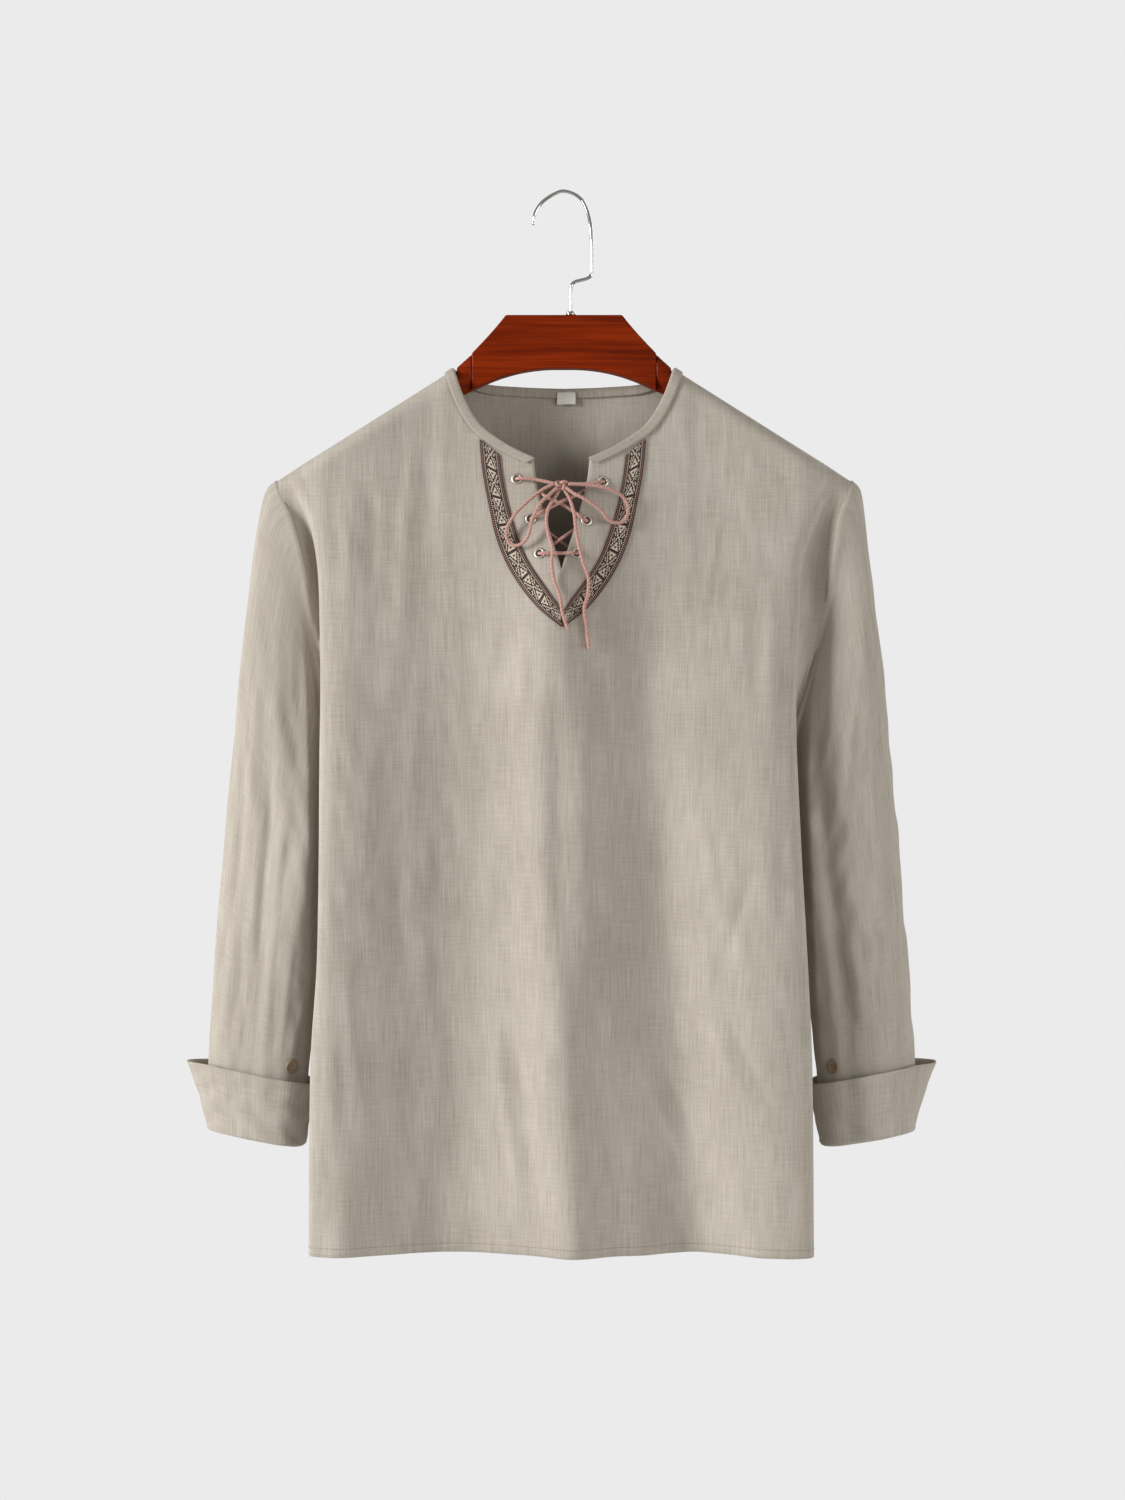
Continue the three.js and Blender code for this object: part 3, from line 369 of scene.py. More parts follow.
# Sleeves: rings that start at the armhole and fan out along the arm
sleeveRings = {
    "ring": list(range(13)),
    "outerX": [229, 237, 243, 247.5, 252, 257, 261.5, 266, 271, 276, 280.5, 283.5, 282.5],
    "outerZ": [-230.6, -239, -262, -292, -330, -372, -420, -474, -530, -590, -650, -698, -743.4],
    "innerX": [160, 161.5, 163.5, 166, 169, 173, 178, 184, 190, 196, 201.5, 205.5, 208.6],
    "innerZ": [-460, -466, -473, -481, -492, -508, -530, -560, -592, -628, -670, -711, -756.2],
    "front": [12, 14, 19, 25, 31, 35, 38, 38, 37, 36, 34, 33, 33],
    "back": [12, 13, 18, 23, 28, 31, 32, 33, 33, 32, 31, 31, 31],
    "armhole": [1, 0.72, 0.42, 0.2, 0.08, 0, 0, 0, 0, 0, 0, 0, 0],
}
aroundHalf = shirt["armholeRows"]
around = 2 * aroundHalf

# Long folds of a sleeve: the angle where each sits, its drift, width and depth, then the rings it covers
sleeveFolds = {
    1: [(0.9, 0.2, 0.28, -1.0, 1, 13), (1.88, 0.1, 0.17, -3.4, 1, 13), (2.25, 0, 0.2, 1.0, 1, 13),
        (4.2, 0.2, 0.4, -2, 1, 13), (5.1, -0.2, 0.35, 1.5, 1, 13)],
    -1: [(0.85, 0.3, 0.22, -1.4, 1, 13), (1.5, 0.1, 0.3, -1.0, 1, 13), (2.15, 0, 0.22, 1.4, 1, 13),
         (4.2, 0.2, 0.4, -2, 1, 13), (5.1, -0.2, 0.35, 1.5, 1, 13)],
}

# How a pressed sleeve leans: its depth at the outer and at the inner edge
sleeveLean = {1: (1.0, 0.94), -1: (0.66, 1.02)}

# The hollow of a sleeve's front beside the body: how far out from the body's edge it starts, over
# how many mm it falls, and its depth as a share of the sleeve's own
sleeveHollow = {1: (9.5, 8, 0.94), -1: (9, 7, 0.94)}

# How a sleeve is pressed flat: how much at its outer edge, how much thinner that makes it, how much of
# it reaches the back half, the back's own hollow, and the ring near the cuff where the front's hollow
# begins to fade and over how many rings
sleevePress = {
    "edge": 0.45, "thinner": 0.15, "back": 0.4, "backHollow": 0.4, "fadeRing": 11.2, "fadeRings": 0.8,
}

# Small folds of a sleeve, given like its long ones
sleeveCreases = {
    1: [(0.55, 0.25, 0.10, -1.1, 2, 8), (1.15, -0.3, 0.12, 1.3, 6, 12), (1.85, 0.3, 0.1, -1.2, 5, 11),
        (2.45, 0.1, 0.09, 1.1, 3, 9), (1.35, 0.2, 0.08, -1.0, 8, 12.5), (0.75, -0.1, 0.1, 1.0, 7, 12),
        (4.6, 0.2, 0.12, 1.2, 3, 10), (3.8, -0.2, 0.1, -1.1, 5, 12)],
    -1: [(0.6, 0.3, 0.1, -1.2, 3, 9), (1.05, 0.5, 0.09, -1.5, 5, 10), (1.4, 0.4, 0.09, 1.3, 6, 12),
         (1.7, -0.2, 0.1, -1.3, 8, 12.5), (2.5, 0.1, 0.1, 1.2, 2, 9), (1.95, 0.15, 0.08, 1.1, 8, 12.5),
         (4.4, 0.2, 0.12, 1.2, 3, 10), (5.4, -0.2, 0.1, -1.1, 5, 12)],
}


def sleeveRows(side, ring, k, hollow=1):
    row = {name: readTable(sleeveRings, "ring", name, ring)[:, None] for name in sleeveRings}
    step = ring[:, None]
    first = {name: sleeveRings[name][0] for name in sleeveRings}
    inset = 4.5 * ease(step / 3) if side > 0 else 0
    outerX, outerZ = row["outerX"] - inset, row["outerZ"]
    innerX, innerZ = row["innerX"] - (2 * ease((step - 4) / 4) if side > 0 else 0), row["innerZ"]
    angle = math.pi * k[None] / aroundHalf
    facing = np.where(k <= aroundHalf, -1, 1)[None]
    toOuter = (1 + np.cos(angle)) / 2
    ovalX, ovalZ = mix(innerX, outerX, toOuter), mix(innerZ, outerZ, toOuter)
    hollowStart, hollowWidth, hollowDepth = sleeveHollow[side]
    bodyEdge = sideValue(side, ovalZ, "Edge")
    toInner = np.where(facing < 0, ease((hollowStart - ovalX + bodyEdge) / hollowWidth), 1)
    nearCuff = ease((step - sleevePress["fadeRing"]) / sleevePress["fadeRings"])
    fall = np.where(facing < 0, hollow * hollowDepth * (1 - nearCuff), sleevePress["backHollow"])
    settled = ease((step - 1) / 3) * np.where(facing < 0, 1, sleevePress["back"])
    pressed = sleevePress["edge"] * (1 - toInner) * settled
    lean = mix(1, mix(*sleeveLean[side], 1 - toOuter), settled)
    depth = np.where(facing < 0, row["front"], row["back"]) * (1 - sleevePress["thinner"] * pressed) * lean
    depth = depth * (1 - fall * toInner * settled)
    y = facing * np.abs(np.sin(angle)) ** (1 - pressed) * depth
    oval = np.stack([ovalX, y, ovalZ], -1)
    fold = 0
    for place, drift, width, depth, start, end in sleeveFolds[side] + sleeveCreases[side]:
        fade = 1 if start == 1 else ease((step - start) / 1.5) * ease((end - step) / 1.5)
        fold = fold + depth * fade * bump(angle, place + drift * step / 12, width)
    waves = crumple(angle * 60, -60 * step, seed=31 + side, count=40, shortest=16, longest=60, lean=0.5)
    fold = fold + 0.8 * waves
    strength = ease((step - 1) / 4) * (1 - 0.7 * ease((step - 9) / 2))
    middle = np.stack([(innerX + outerX) / 2, 0 * outerX, (innerZ + outerZ) / 2], -1)
    oval = oval + unit(oval - middle) * (fold * strength)[..., None]
    z = armholeLevel(np.where(k <= aroundHalf, k, around - k)[None] + 0 * step)
    flank = np.where(facing < 0, sideDepth(z, -1), sideDepth(z, 1))
    heldX = sideValue(side, z, "End") + shirt["sleeveGap"]
    heldX = heldX + mix(row["innerX"] - first["innerX"], outerX - first["outerX"], toOuter)
    heldZ = z + mix(row["innerZ"] - first["innerZ"], row["outerZ"] - first["outerZ"], toOuter)
    held = np.stack([heldX, facing * flank, heldZ], -1)
    oval = mix(oval, held, row["armhole"][..., None])
    oval[..., 0] *= side
    return oval


# Meshes

def gridNormals(points, closed=False):
    if closed:
        padded = np.concatenate([points[:, -1:], points, points[:, :1]], 1)
        across = (padded[:, 2:] - padded[:, :-2]) / 2
    else:
        across = np.gradient(points, axis=1)
    return unit(np.cross(across, np.gradient(points, axis=0)), 1e-9)


# Round a hole, points nearer than holeEase mm to its edge are set on one circle that far outside it.
# Only faces that come within holeReach mm of the edge are looked at.
holeReach, holeEase = 2.6, 0.5


# A grid of points in mm becomes a mesh whose UV map runs in metres along the threads
def gridMesh(name, points, closed=False, flip=False, holes=(), threads=None, openStrip=None):
    rows, columns = points.shape[:2]
    index = np.arange(rows * columns).reshape(rows, columns)
    ring = np.concatenate([index, index[:, :1]], 1) if closed else index
    quads = np.stack([ring[:-1, :-1], ring[1:, :-1], ring[1:, 1:], ring[:-1, 1:]], -1)
    wide = np.concatenate([points, points[:, :1]], 1) if closed else points
    stepsU = np.linalg.norm(np.diff(wide, axis=1), axis=-1).mean(0)
    stepsV = np.linalg.norm(np.diff(points, axis=0), axis=-1).mean(1)
    u, v = np.concatenate([[0], np.cumsum(stepsU)]) * mm, -np.concatenate([[0], np.cumsum(stepsV)]) * mm
    gridU, gridV = np.meshgrid(u, v)
    uv = np.stack([gridU, gridV], -1) if threads is None else threads * mm
    corners = np.stack([uv[:-1, :-1], uv[1:, :-1], uv[1:, 1:], uv[:-1, 1:]], -2)
    flat = points.reshape(-1, 3).copy()
    if openStrip is not None:
        quads, corners = np.delete(quads, openStrip, 1), np.delete(corners, openStrip, 1)
    quads, corners = quads.reshape(-1, 4), corners.reshape(-1, 4, 2)
    for spot, radius in holes:
        reach = np.linalg.norm(flat - np.array(spot), axis=1)
        keep = np.linalg.norm(flat[quads].mean(1) - np.array(spot), axis=1) > radius
        quads, corners = quads[keep], corners[keep]
        rim = np.unique(quads[(reach[quads] < radius + holeReach).any(1)])
        near = rim[reach[rim] < radius + holeEase]
        away = (flat[near] - np.array(spot)) * (radius + holeEase) / reach[near][:, None]
        flat[near] = np.array(spot) + away
    if flip:
        quads, corners = quads[:, ::-1], corners[:, ::-1]
    used, inverse = np.unique(quads, return_inverse=True)
    mesh = bpy.data.meshes.new(name)
    mesh.from_pydata((flat[used] * mm).tolist(), [], inverse.reshape(-1, 4).tolist())
    layer = mesh.uv_layers.new(name="threads")
    layer.data.foreach_set("uv", corners.reshape(-1).astype(np.float32))
    mesh.polygons.foreach_set("use_smooth", np.ones(len(mesh.polygons), bool))
    mesh.update()
    return mesh


def addPiece(name, mesh, material, nodes=()):
    piece = bpy.data.objects.new(name, mesh)
    bpy.context.scene.collection.objects.link(piece)
    mesh.materials.clear()
    mesh.materials.append(material)
    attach(piece, "root")
    if nodes:
        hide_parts(*nodes)
    return piece


def thicken(piece, wall):
    solid = piece.modifiers.new("clothThickness", "SOLIDIFY")
    solid.thickness = wall * mm
    solid.offset = -1
    return piece


# A hem: the last row folds under, inward, and runs back up inside
def hemRows(points, closed, depth, gap, flip):
    inward = gridNormals(points, closed)[-1] * (-1 if flip else 1)
    up = unit(points[-2] - points[-1])
    rows = []
    for reach, rise in ((0.5, -0.5), (1, 0), (1, 0.35 * depth), (1, 0.7 * depth), (1, depth)):
        rows.append(points[-1] + inward * gap * reach + up * rise)
    return np.concatenate([points, np.stack(rows)], 0)


# Tubes: round sections carried along a line without twisting
def tubeGrid(points, radius, sections, roundEnds=True, closed=False):
    points = np.asarray(points, float)
    radii = np.full(len(points), float(radius)) if np.isscalar(radius) else np.asarray(radius, float)
    if closed:
        tangents = np.roll(points, -1, 0) - np.roll(points, 1, 0)
    else:
        tangents = np.gradient(points, axis=0)
    tangents = unit(tangents)
    if roundEnds and not closed:
        shares = np.sin(np.linspace(0, math.pi / 2, 5))
        caps = np.sqrt(np.maximum(1 - shares[::-1] ** 2, 0.0004))
        start = [points[0] - tangents[0] * radii[0] * s for s in shares[::-1][:-1]]
        end = [points[-1] + tangents[-1] * radii[-1] * s for s in shares[1:]]
        points = np.concatenate([start, points, end])
        tangents = np.concatenate([[tangents[0]] * 4, tangents, [tangents[-1]] * 4])
        radii = np.concatenate([radii[0] * caps[:-1], radii, radii[-1] * caps[:-1][::-1]])
    across = Vector(tangents[0]).orthogonal().normalized()
    frames = [np.array(across)]
    for before, after in zip(tangents[:-1], tangents[1:]):
        turn = Vector(before).rotation_difference(Vector(after))
        across = (turn @ across).normalized()
        frames.append(np.array(across))
    frames = np.array(frames)
    if closed:
        back = Vector(tangents[-1]).rotation_difference(Vector(tangents[0])) @ across
        first = Vector(frames[0])
        slip = math.atan2(back.cross(first).dot(Vector(tangents[0])), back.dot(first))
        turns = np.arange(len(points)) / len(points) * slip
        side = np.cross(tangents, frames)
        frames = frames * np.cos(turns)[:, None] + side * np.sin(turns)[:, None]
    side = np.cross(tangents, frames)
    angles = 2 * math.pi * np.arange(sections) / sections
    ring = frames[:, None] * np.cos(angles)[None, :, None] + side[:, None] * np.sin(angles)[None, :, None]
    return points[:, None] + ring * radii[:, None, None]


def tubeMesh(name, points, radius, sections, closed=False):
    grid = tubeGrid(points, radius, sections, not closed, closed)
    if closed:
        grid = np.concatenate([grid, grid[:1]], 0)
    mesh = gridMesh(name, grid, closed=True, flip=True)
    if closed:
        weld(mesh)
    return mesh


def weld(mesh, reach=0.00002):
    shape = bmesh.new()
    shape.from_mesh(mesh)
    bmesh.ops.remove_doubles(shape, verts=shape.verts, dist=reach)
    shape.to_mesh(mesh)
    shape.free()


# A profile of (radius, height) spun about an axis at a place
def spunMesh(name, profile, count, places):
    verts, faces = [], []
    profile = np.array(profile, float)
    for spot, axis in places:
        turn = Vector((0, 0, 1)).rotation_difference(Vector(axis))
        base = len(verts)
        for radius, height in profile:
            for i in range(count):
                angle = 2 * math.pi * i / count
                local = Vector((radius * math.cos(angle), radius * math.sin(angle), height))
                verts.append((turn @ local + Vector(spot)) * mm)
        for r in range(len(profile) - 1):
            for i in range(count):
                j = (i + 1) % count
                low, high = base + r * count, base + (r + 1) * count
                faces.append((low + i, low + j, high + j, high + i))
    mesh = bpy.data.meshes.new(name)
    mesh.from_pydata([tuple(v) for v in verts], [], faces)
    weld(mesh)
    mesh.polygons.foreach_set("use_smooth", np.ones(len(mesh.polygons), bool))
    mesh.update()
    return mesh


# Materials

def hexColour(code):
    channels = [int(code[i:i + 2], 16) / 255 for i in (0, 2, 4)]
    return [c / 12.92 if c <= 0.04045 else ((c + 0.055) / 1.055) ** 2.4 for c in channels] + [1]


def addNode(tree, kind, settings=None, links=None):
    node = tree.nodes.new(kind)
    for name, value in (settings or {}).items():
        setattr(node, name, value)
    for name, value in (links or {}).items():
        if isinstance(value, bpy.types.NodeSocket):
            tree.links.new(value, node.inputs[name])
        else:
            node.inputs[name].default_value = value
    return node


def newMaterial(name, finish):
    material = bpy.data.materials.new(name)
    material.use_nodes = True
    tree = material.node_tree
    shader = tree.nodes["Principled BSDF"]
    for socket, value in finish.items():
        shader.inputs[socket].default_value = value
    return material, tree, shader


def scaledPlace(tree, place, scale):
    return addNode(tree, "ShaderNodeMapping", None, {"Vector": place, "Scale": scale}).outputs[0]


def noiseTone(tree, place, scale, detail, roughness=0.5, distortion=0.0, flat=False):
    return addNode(tree, "ShaderNodeTexNoise", {"noise_dimensions": "2D" if flat else "3D"}, {
        "Vector": place, "Scale": scale, "Detail": detail, "Roughness": roughness,
        "Distortion": distortion}).outputs["Fac"]


# One tone times its weight, and another added
def addTones(tree, tone, weight, other):
    return addNode(tree, "ShaderNodeMath", {"operation": "MULTIPLY_ADD"}, {
        0: tone, 1: weight, 2: other}).outputs[0]


# Colours a surface by a tone: first and last are each a place on the ramp and its colour
def colourBy(tree, shader, tone, first, last, between=()):
    ramp = addNode(tree, "ShaderNodeValToRGB", None, {"Fac": tone})
    stops = ramp.color_ramp.elements
    for k, (place, colour) in enumerate((first, last)):
        stops[k].position = place
        stops[k].color = hexColour(colour)
    for place, colour in between:
        stops.new(place).color = hexColour(colour)
    tree.links.new(ramp.outputs["Color"], shader.inputs["Base Color"])


def reliefBy(tree, shader, height, strength, reliefMm):
    relief = addNode(tree, "ShaderNodeBump", None, {
        "Height": height, "Strength": strength, "Distance": reliefMm * mm})
    tree.links.new(relief.outputs["Normal"], shader.inputs["Normal"])


# Washed linen, plain weave: uneven flax threads show as upright and level slubs, and it takes no shine
linenLook = {
    "light": "BDB6AB", "lightAt": 0.86, "dark": "A39B8F", "darkAt": 0.48,
    "threadMm": 1.1, "slubMm": 34, "cloudMm": 90, "relief": 0.35, "reliefMm": 0.35,
    "finish": {"Roughness": 0.9, "Sheen Weight": 0.15, "Sheen Roughness": 0.6, "Specular IOR Level": 0.25},
}


def linenMaterial(name, look):
    material, tree, shader = newMaterial(name, look["finish"])
    place = addNode(tree, "ShaderNodeTexCoord").outputs["UV"]
    thread, slub = look["threadMm"] * mm, look["slubMm"] * mm
    warp = noiseTone(tree, scaledPlace(tree, place, (1 / thread, 1 / slub, 1)), 1.0, 3.0, 0.6, flat=True)
    weft = noiseTone(tree, scaledPlace(tree, place, (1.6 / slub, 1 / thread, 1)), 1.0, 3.0, 0.6, flat=True)
    cloud = noiseTone(tree, place, 1 / (look["cloudMm"] * mm), 4.0, 0.55, flat=True)
    both = addTones(tree, weft, 0.35, addTones(tree, warp, 0.65, 0.0))
    colourBy(tree, shader, addTones(tree, cloud, 0.35, both),
             (look["darkAt"], look["dark"]), (look["lightAt"], look["light"]))
    reliefBy(tree, shader, both, look["relief"], look["reliefMm"])
    return material


# Round cotton lace: soft and matt, with the slant of its braid just showing
laceLook = {
    "light": "C69A8F", "lightAt": 0.95, "dark": "A6766C", "darkAt": 0.35,
    "braidMm": 1.6, "relief": 0.4, "reliefMm": 0.25, "finish": {"Roughness": 0.85, "Sheen Weight": 0.3},
}


def laceMaterial(name, look):
    material, tree, shader = newMaterial(name, look["finish"])
    place = addNode(tree, "ShaderNodeTexCoord").outputs["UV"]
    braidMetres = look["braidMm"] * mm
    scaled = scaledPlace(tree, place, (1 / braidMetres, 1 / braidMetres, 1))
    braid = addNode(tree, "ShaderNodeTexWave", {"bands_direction": "DIAGONAL"}, {
        "Vector": scaled, "Scale": 0.31, "Distortion": 1.0, "Detail": 2.0})
    tone = addTones(tree, braid.outputs["Fac"], 0.5, noiseTone(tree, scaled, 0.7, 3.0))
    colourBy(tree, shader, tone, (look["darkAt"], look["dark"]), (look["lightAt"], look["light"]))
    reliefBy(tree, shader, tone, look["relief"], look["reliefMm"])
    return material


# Woven jacquard tape: each cell of the pattern is one float of thread, coloured by the mesh
def tapeMaterial(name):
    material, tree, shader = newMaterial(name, {"Roughness": 0.7, "Sheen Weight": 0.2})
    pattern = addNode(tree, "ShaderNodeAttribute", {"attribute_name": "weave"})
    place = addNode(tree, "ShaderNodeTexCoord").outputs["UV"]
    ribs = addNode(tree, "ShaderNodeTexWave", {"bands_direction": "Y"}, {
        "Vector": place, "Scale": 0.314 / (tapeLook["cellMm"] * mm)})
    tree.links.new(pattern.outputs["Color"], shader.inputs["Base Color"])
    reliefBy(tree, shader, ribs.outputs["Fac"], 0.35, 0.2)
    return material


# Nickel-plated steel, drawn or pressed: bright, with faint rubbed marks
def steelMaterial(name, colour, roughness):
    material, tree, shader = newMaterial(name, {"Base Color": hexColour(colour), "Metallic": 1})
    marks = noiseTone(tree, addNode(tree, "ShaderNodeTexCoord").outputs["Object"], 900.0, 3.0)
    rough = addNode(tree, "ShaderNodeMapRange", None, {
        "Value": marks, "To Min": roughness * 0.7, "To Max": roughness * 1.4})
    tree.links.new(rough.outputs[0], shader.inputs["Roughness"])
    return material


# Stained and lacquered hardwood: fine grain along the board under a clear coat
woodLook = {
    "light": "8A2C06", "lightAt": 1.0, "mid": "762204", "midAt": 0.78, "dark": "561603", "darkAt": 0.55,
    "grainMm": 2.6, "streakMm": 90, "relief": 0.12, "reliefMm": 0.2,
    "finish": {"Roughness": 0.42, "Specular IOR Level": 0.06, "Coat Weight": 0.06, "Coat Roughness": 0.2},
}


def woodMaterial(name, look):
    material, tree, shader = newMaterial(name, look["finish"])
    place = addNode(tree, "ShaderNodeTexCoord").outputs["Object"]
    along = scaledPlace(tree, place, (
        1 / (look["streakMm"] * mm), 1 / (look["grainMm"] * 4 * mm), 1 / (look["grainMm"] * mm)))
    grain = noiseTone(tree, along, 1.0, 6.0, 0.65, 0.6)
    cloud = noiseTone(tree, scaledPlace(tree, place, (6.0, 20.0, 60.0)), 1.0, 3.0)
    colourBy(tree, shader, addTones(tree, cloud, 0.6, grain), (look["darkAt"], look["dark"]),
             (look["lightAt"], look["light"]), [(look["midAt"], look["mid"])])
    reliefBy(tree, shader, grain, look["relief"], look["reliefMm"])
    return material


# Sewing thread, a satin-woven label and a moulded button: two near tones in soft patches
def plainMaterial(name, light, dark, scale, roughness):
    material, tree, shader = newMaterial(name, {"Roughness": roughness})
    cloud = noiseTone(tree, addNode(tree, "ShaderNodeTexCoord").outputs["Object"], scale, 4.0)
    colourBy(tree, shader, cloud, (0.3, dark), (0.7, light))
    reliefBy(tree, shader, cloud, 0.2, 0.1)
    return material


# The tape's pattern is woven in cells: how many lie across it, how many of them each border takes and
# how many rows make one repeat
tapeLook = {
    "cellMm": 0.8, "cells": 20, "borderCells": 5, "repeatCells": 29, "wall": 0.5, "lift": 1.1,
    "ground": "2A1A15", "rose": "A86C60", "cream": "C8BAA7",
}


# Which yarn shows in a row, so many cells in from the edge: dotted borders, then bars, a dotted
# triangle on each side of a bar, and crossings
def tapeYarn(row, edge):
    if edge < tapeLook["borderCells"]:
        return {1: "rose", 3: "cream"}.get(edge, "ground") if row % 2 else "ground"
    fromMiddle = tapeLook["cells"] / 2 - 1 - edge
    place = row % tapeLook["repeatCells"]
    fromBar = min(place, tapeLook["repeatCells"] - place)
    if fromBar < 2 or (fromBar in (4, 5) and fromMiddle < 1):
        return "ground"
    outline = 4.8 * (1 - fromBar / 11.5)
    past = fromMiddle - outline
    return "cream" if past < -0.9 or 0.7 < past < 1.7 or 3.2 < past < 4 else "ground"


linen = linenMaterial("washedLinen", linenLook)
bindingLinen = linenMaterial("bindingLinen", {**linenLook, "light": "BAB2A7", "dark": "9D9589"})
sewingThread = plainMaterial("sewingThread", "A89C8A", "857A6A", 1500, 0.8)
cottonLace = laceMaterial("cottonLace", laceLook)
wovenTape = tapeMaterial("wovenTape")
eyeletSteel = steelMaterial("platedSteel", "D8D4CB", 0.4)
hookSteel = steelMaterial("chromedSteelWire", "D5D5D5", 0.12)
lacqueredWood = woodMaterial("lacqueredWood", woodLook)
labelSatin = plainMaterial("labelSatin", "E9E6E1", "D6D2CB", 1800, 0.55)
buttonHorn = plainMaterial("paleHorn", "9C8A72", "7E6C58", 300, 0.35)
print("materials made")


# Camera: level, 2 m in front of the shirt, the frame 0.9 m by 1.2 m at the seam plane
camera = {"x": -0.0012, "z": -0.4456, "distance": 2.0, "frameHeight": 1.2, "sensor": 36}
lens = bpy.data.cameras.new("photoCamera")
lens.sensor_width = camera["sensor"]
lens.lens = camera["sensor"] * camera["distance"] / camera["frameHeight"]
photoCamera = bpy.data.objects.new("photoCamera", lens)
bpy.context.scene.collection.objects.link(photoCamera)
photoCamera.location = (camera["x"], -camera["distance"], camera["z"])
photoCamera.rotation_euler = (math.pi / 2, 0, 0)
bpy.context.scene.camera = photoCamera


# The lace: each point is x, z and the lift off the cloth, behind it where negative
laceRadius = 1.35
knotPlace = {"x": -2, "z": -237.3, "lift": 6.5, "halfX": 6, "halfY": 4.4, "halfZ": 4.8}
laceRoutes = {
    "lacing": [
        (-7.9, -235.8, 4.9), (-22, -232.5, 3.8), (-34.2, -231.2, 4.2), (-37.2, -231.3, 1.8),
        (-37.2, -231.6, -1.4), (-34, -233.5, -3.6), (-22, -240.5, -3.2), (-12, -247, 0.6),
        (-3, -251.5, 2.4), (8, -258.5, 2.8), (14.8, -263.4, 4.2), (17.6, -265, 1.8),
        (17.6, -265.2, -1.2), (14.5, -267.5, -3.6), (-1, -278.5, -2.8), (-15.4, -288.3, -4.2),
        (-19, -291, -1.8), (-19.3, -291.3, 1.7), (-16.2, -291.5, 4.3), (-4.6, -291.5, 3),
        (7, -291.3, 4.3), (9.9, -291.2, 1.8), (9.9, -291, -1.6), (6.5, -288.5, -6.4),
        (-5, -279.5, -6.8), (-22.5, -266.5, -4.6), (-26, -263.8, -1.4), (-26.1, -263.5, 1.5),
        (-22.8, -261.6, 4.2), (-12, -256, 5.8), (-3, -251, 5.6), (5.5, -246.6, 1.6), (14, -242, -3),
        (26.8, -235.6, -4.1), (30.4, -233.8, -1.2), (30.7, -233.5, 1.6), (27.4, -234.2, 4.2),
        (16, -236, 3.8), (3.9, -236, 4.9),
    ],
    "loop_right": [
        (-8.4, -236.9, 8.4), (-15, -240, 9), (-24, -246.5, 9.2), (-39, -261, 8.5), (-45.4, -274, 6.5),
        (-43, -283, 5), (-36.5, -285, 5), (-29, -279.5, 6.5), (-25, -265, 9.5), (-18, -251.5, 11.5),
        (-11, -245, 10.5), (-6.2, -240.2, 9),
    ],
    "loop_left": [
        (4.3, -236.7, 8.4), (20, -237.4, 9), (36, -240.5, 9), (46.5, -246.5, 6.5), (50.5, -256, 5),
        (46.5, -265.8, 5), (37.5, -266.3, 5.5), (28, -256.5, 8.5), (15, -248, 11), (8, -244.5, 10.5),
        (2.2, -240.2, 9),
    ],
    "end_right": [
        (-4, -242, 6), (-7, -247, 7), (-11.5, -254.5, 9.2), (-13.8, -263, 9), (-12.5, -276, 7.4),
        (-9, -288, 7.8), (-9.6, -299, 6), (-8, -312, 3.4), (-3.2, -326, 3.2), (-1.2, -339, 4),
        (2.5, -350.5, 4),
    ],
    "end_left": [
        (0.6, -242, 6.4), (4, -247.5, 7), (7.8, -260, 8.6), (9.2, -272, 8), (11.6, -286, 8.8),
        (15, -298.5, 6.2), (19, -311, 3.4), (18.6, -324, 3.4), (15.8, -335, 4.2), (17.6, -350, 3.6),
        (19.4, -366, 2.8),
    ],
}


# A centripetal Catmull-Rom line, as the solids use, with count points for each stretch between a pair
def roundedLine(points, count):
    points = np.asarray(points, float)
    points = np.concatenate([[2 * points[0] - points[1]], points, [2 * points[-1] - points[-2]]])
    line = []
    for k in range(1, len(points) - 2):
        p0, p1, p2, p3 = points[k - 1:k + 3]
        a, b, c = (max(np.linalg.norm(q - p) ** 0.5, 1e-4) for p, q in ((p0, p1), (p1, p2), (p2, p3)))
        start = ((p1 - p0) / a - (p2 - p0) / (a + b) + (p2 - p1) / b) * b
        end = ((p2 - p1) / b - (p3 - p1) / (b + c) + (p3 - p2) / c) * b
        for i in range(count):
            t = i / count
            line.append(p1 + t * (start + t * (3 * (p2 - p1) - 2 * start - end + t * (
                start + end - 2 * (p2 - p1)))))
    line.append(points[-2])
    return np.array(line)


def laceLine(name):
    route = np.array(laceRoutes[name], float)
    return roundedLine(onFront(route[:, 0], route[:, 1], route[:, 2]), 8)


def lineLength(line):
    return float(np.linalg.norm(np.diff(line, axis=0), axis=1).sum())


laceLines = {name: laceLine(name) for name in laceRoutes}
for name, line in laceLines.items():
    print("lace", name, round(lineLength(line), 1), "mm")
addPiece("laceLacing", tubeMesh("laceLacing", laceLines["lacing"], laceRadius, 12),
         cottonLace, ["lace_lacing"])

# The bow's knot, drawn as one turn of the lace round itself
turns = np.linspace(0, 2 * math.pi, 97)[:-1]
knotSpot = onFront(knotPlace["x"], knotPlace["z"], knotPlace["lift"])
knotLine = knotSpot + np.stack([
    (knotPlace["halfX"] - laceRadius) * (np.sin(turns) + 2 * np.sin(2 * turns)) / 3,
    (knotPlace["halfY"] - laceRadius) * np.sin(3 * turns) * 0.75,
    (knotPlace["halfZ"] - laceRadius) * (np.cos(turns) - 2 * np.cos(2 * turns)) / 3,
], -1)
laceKnot = addPiece("laceKnot", tubeMesh("laceKnot", knotLine, laceRadius, 12, closed=True),
                    cottonLace, ["lace_knot"])

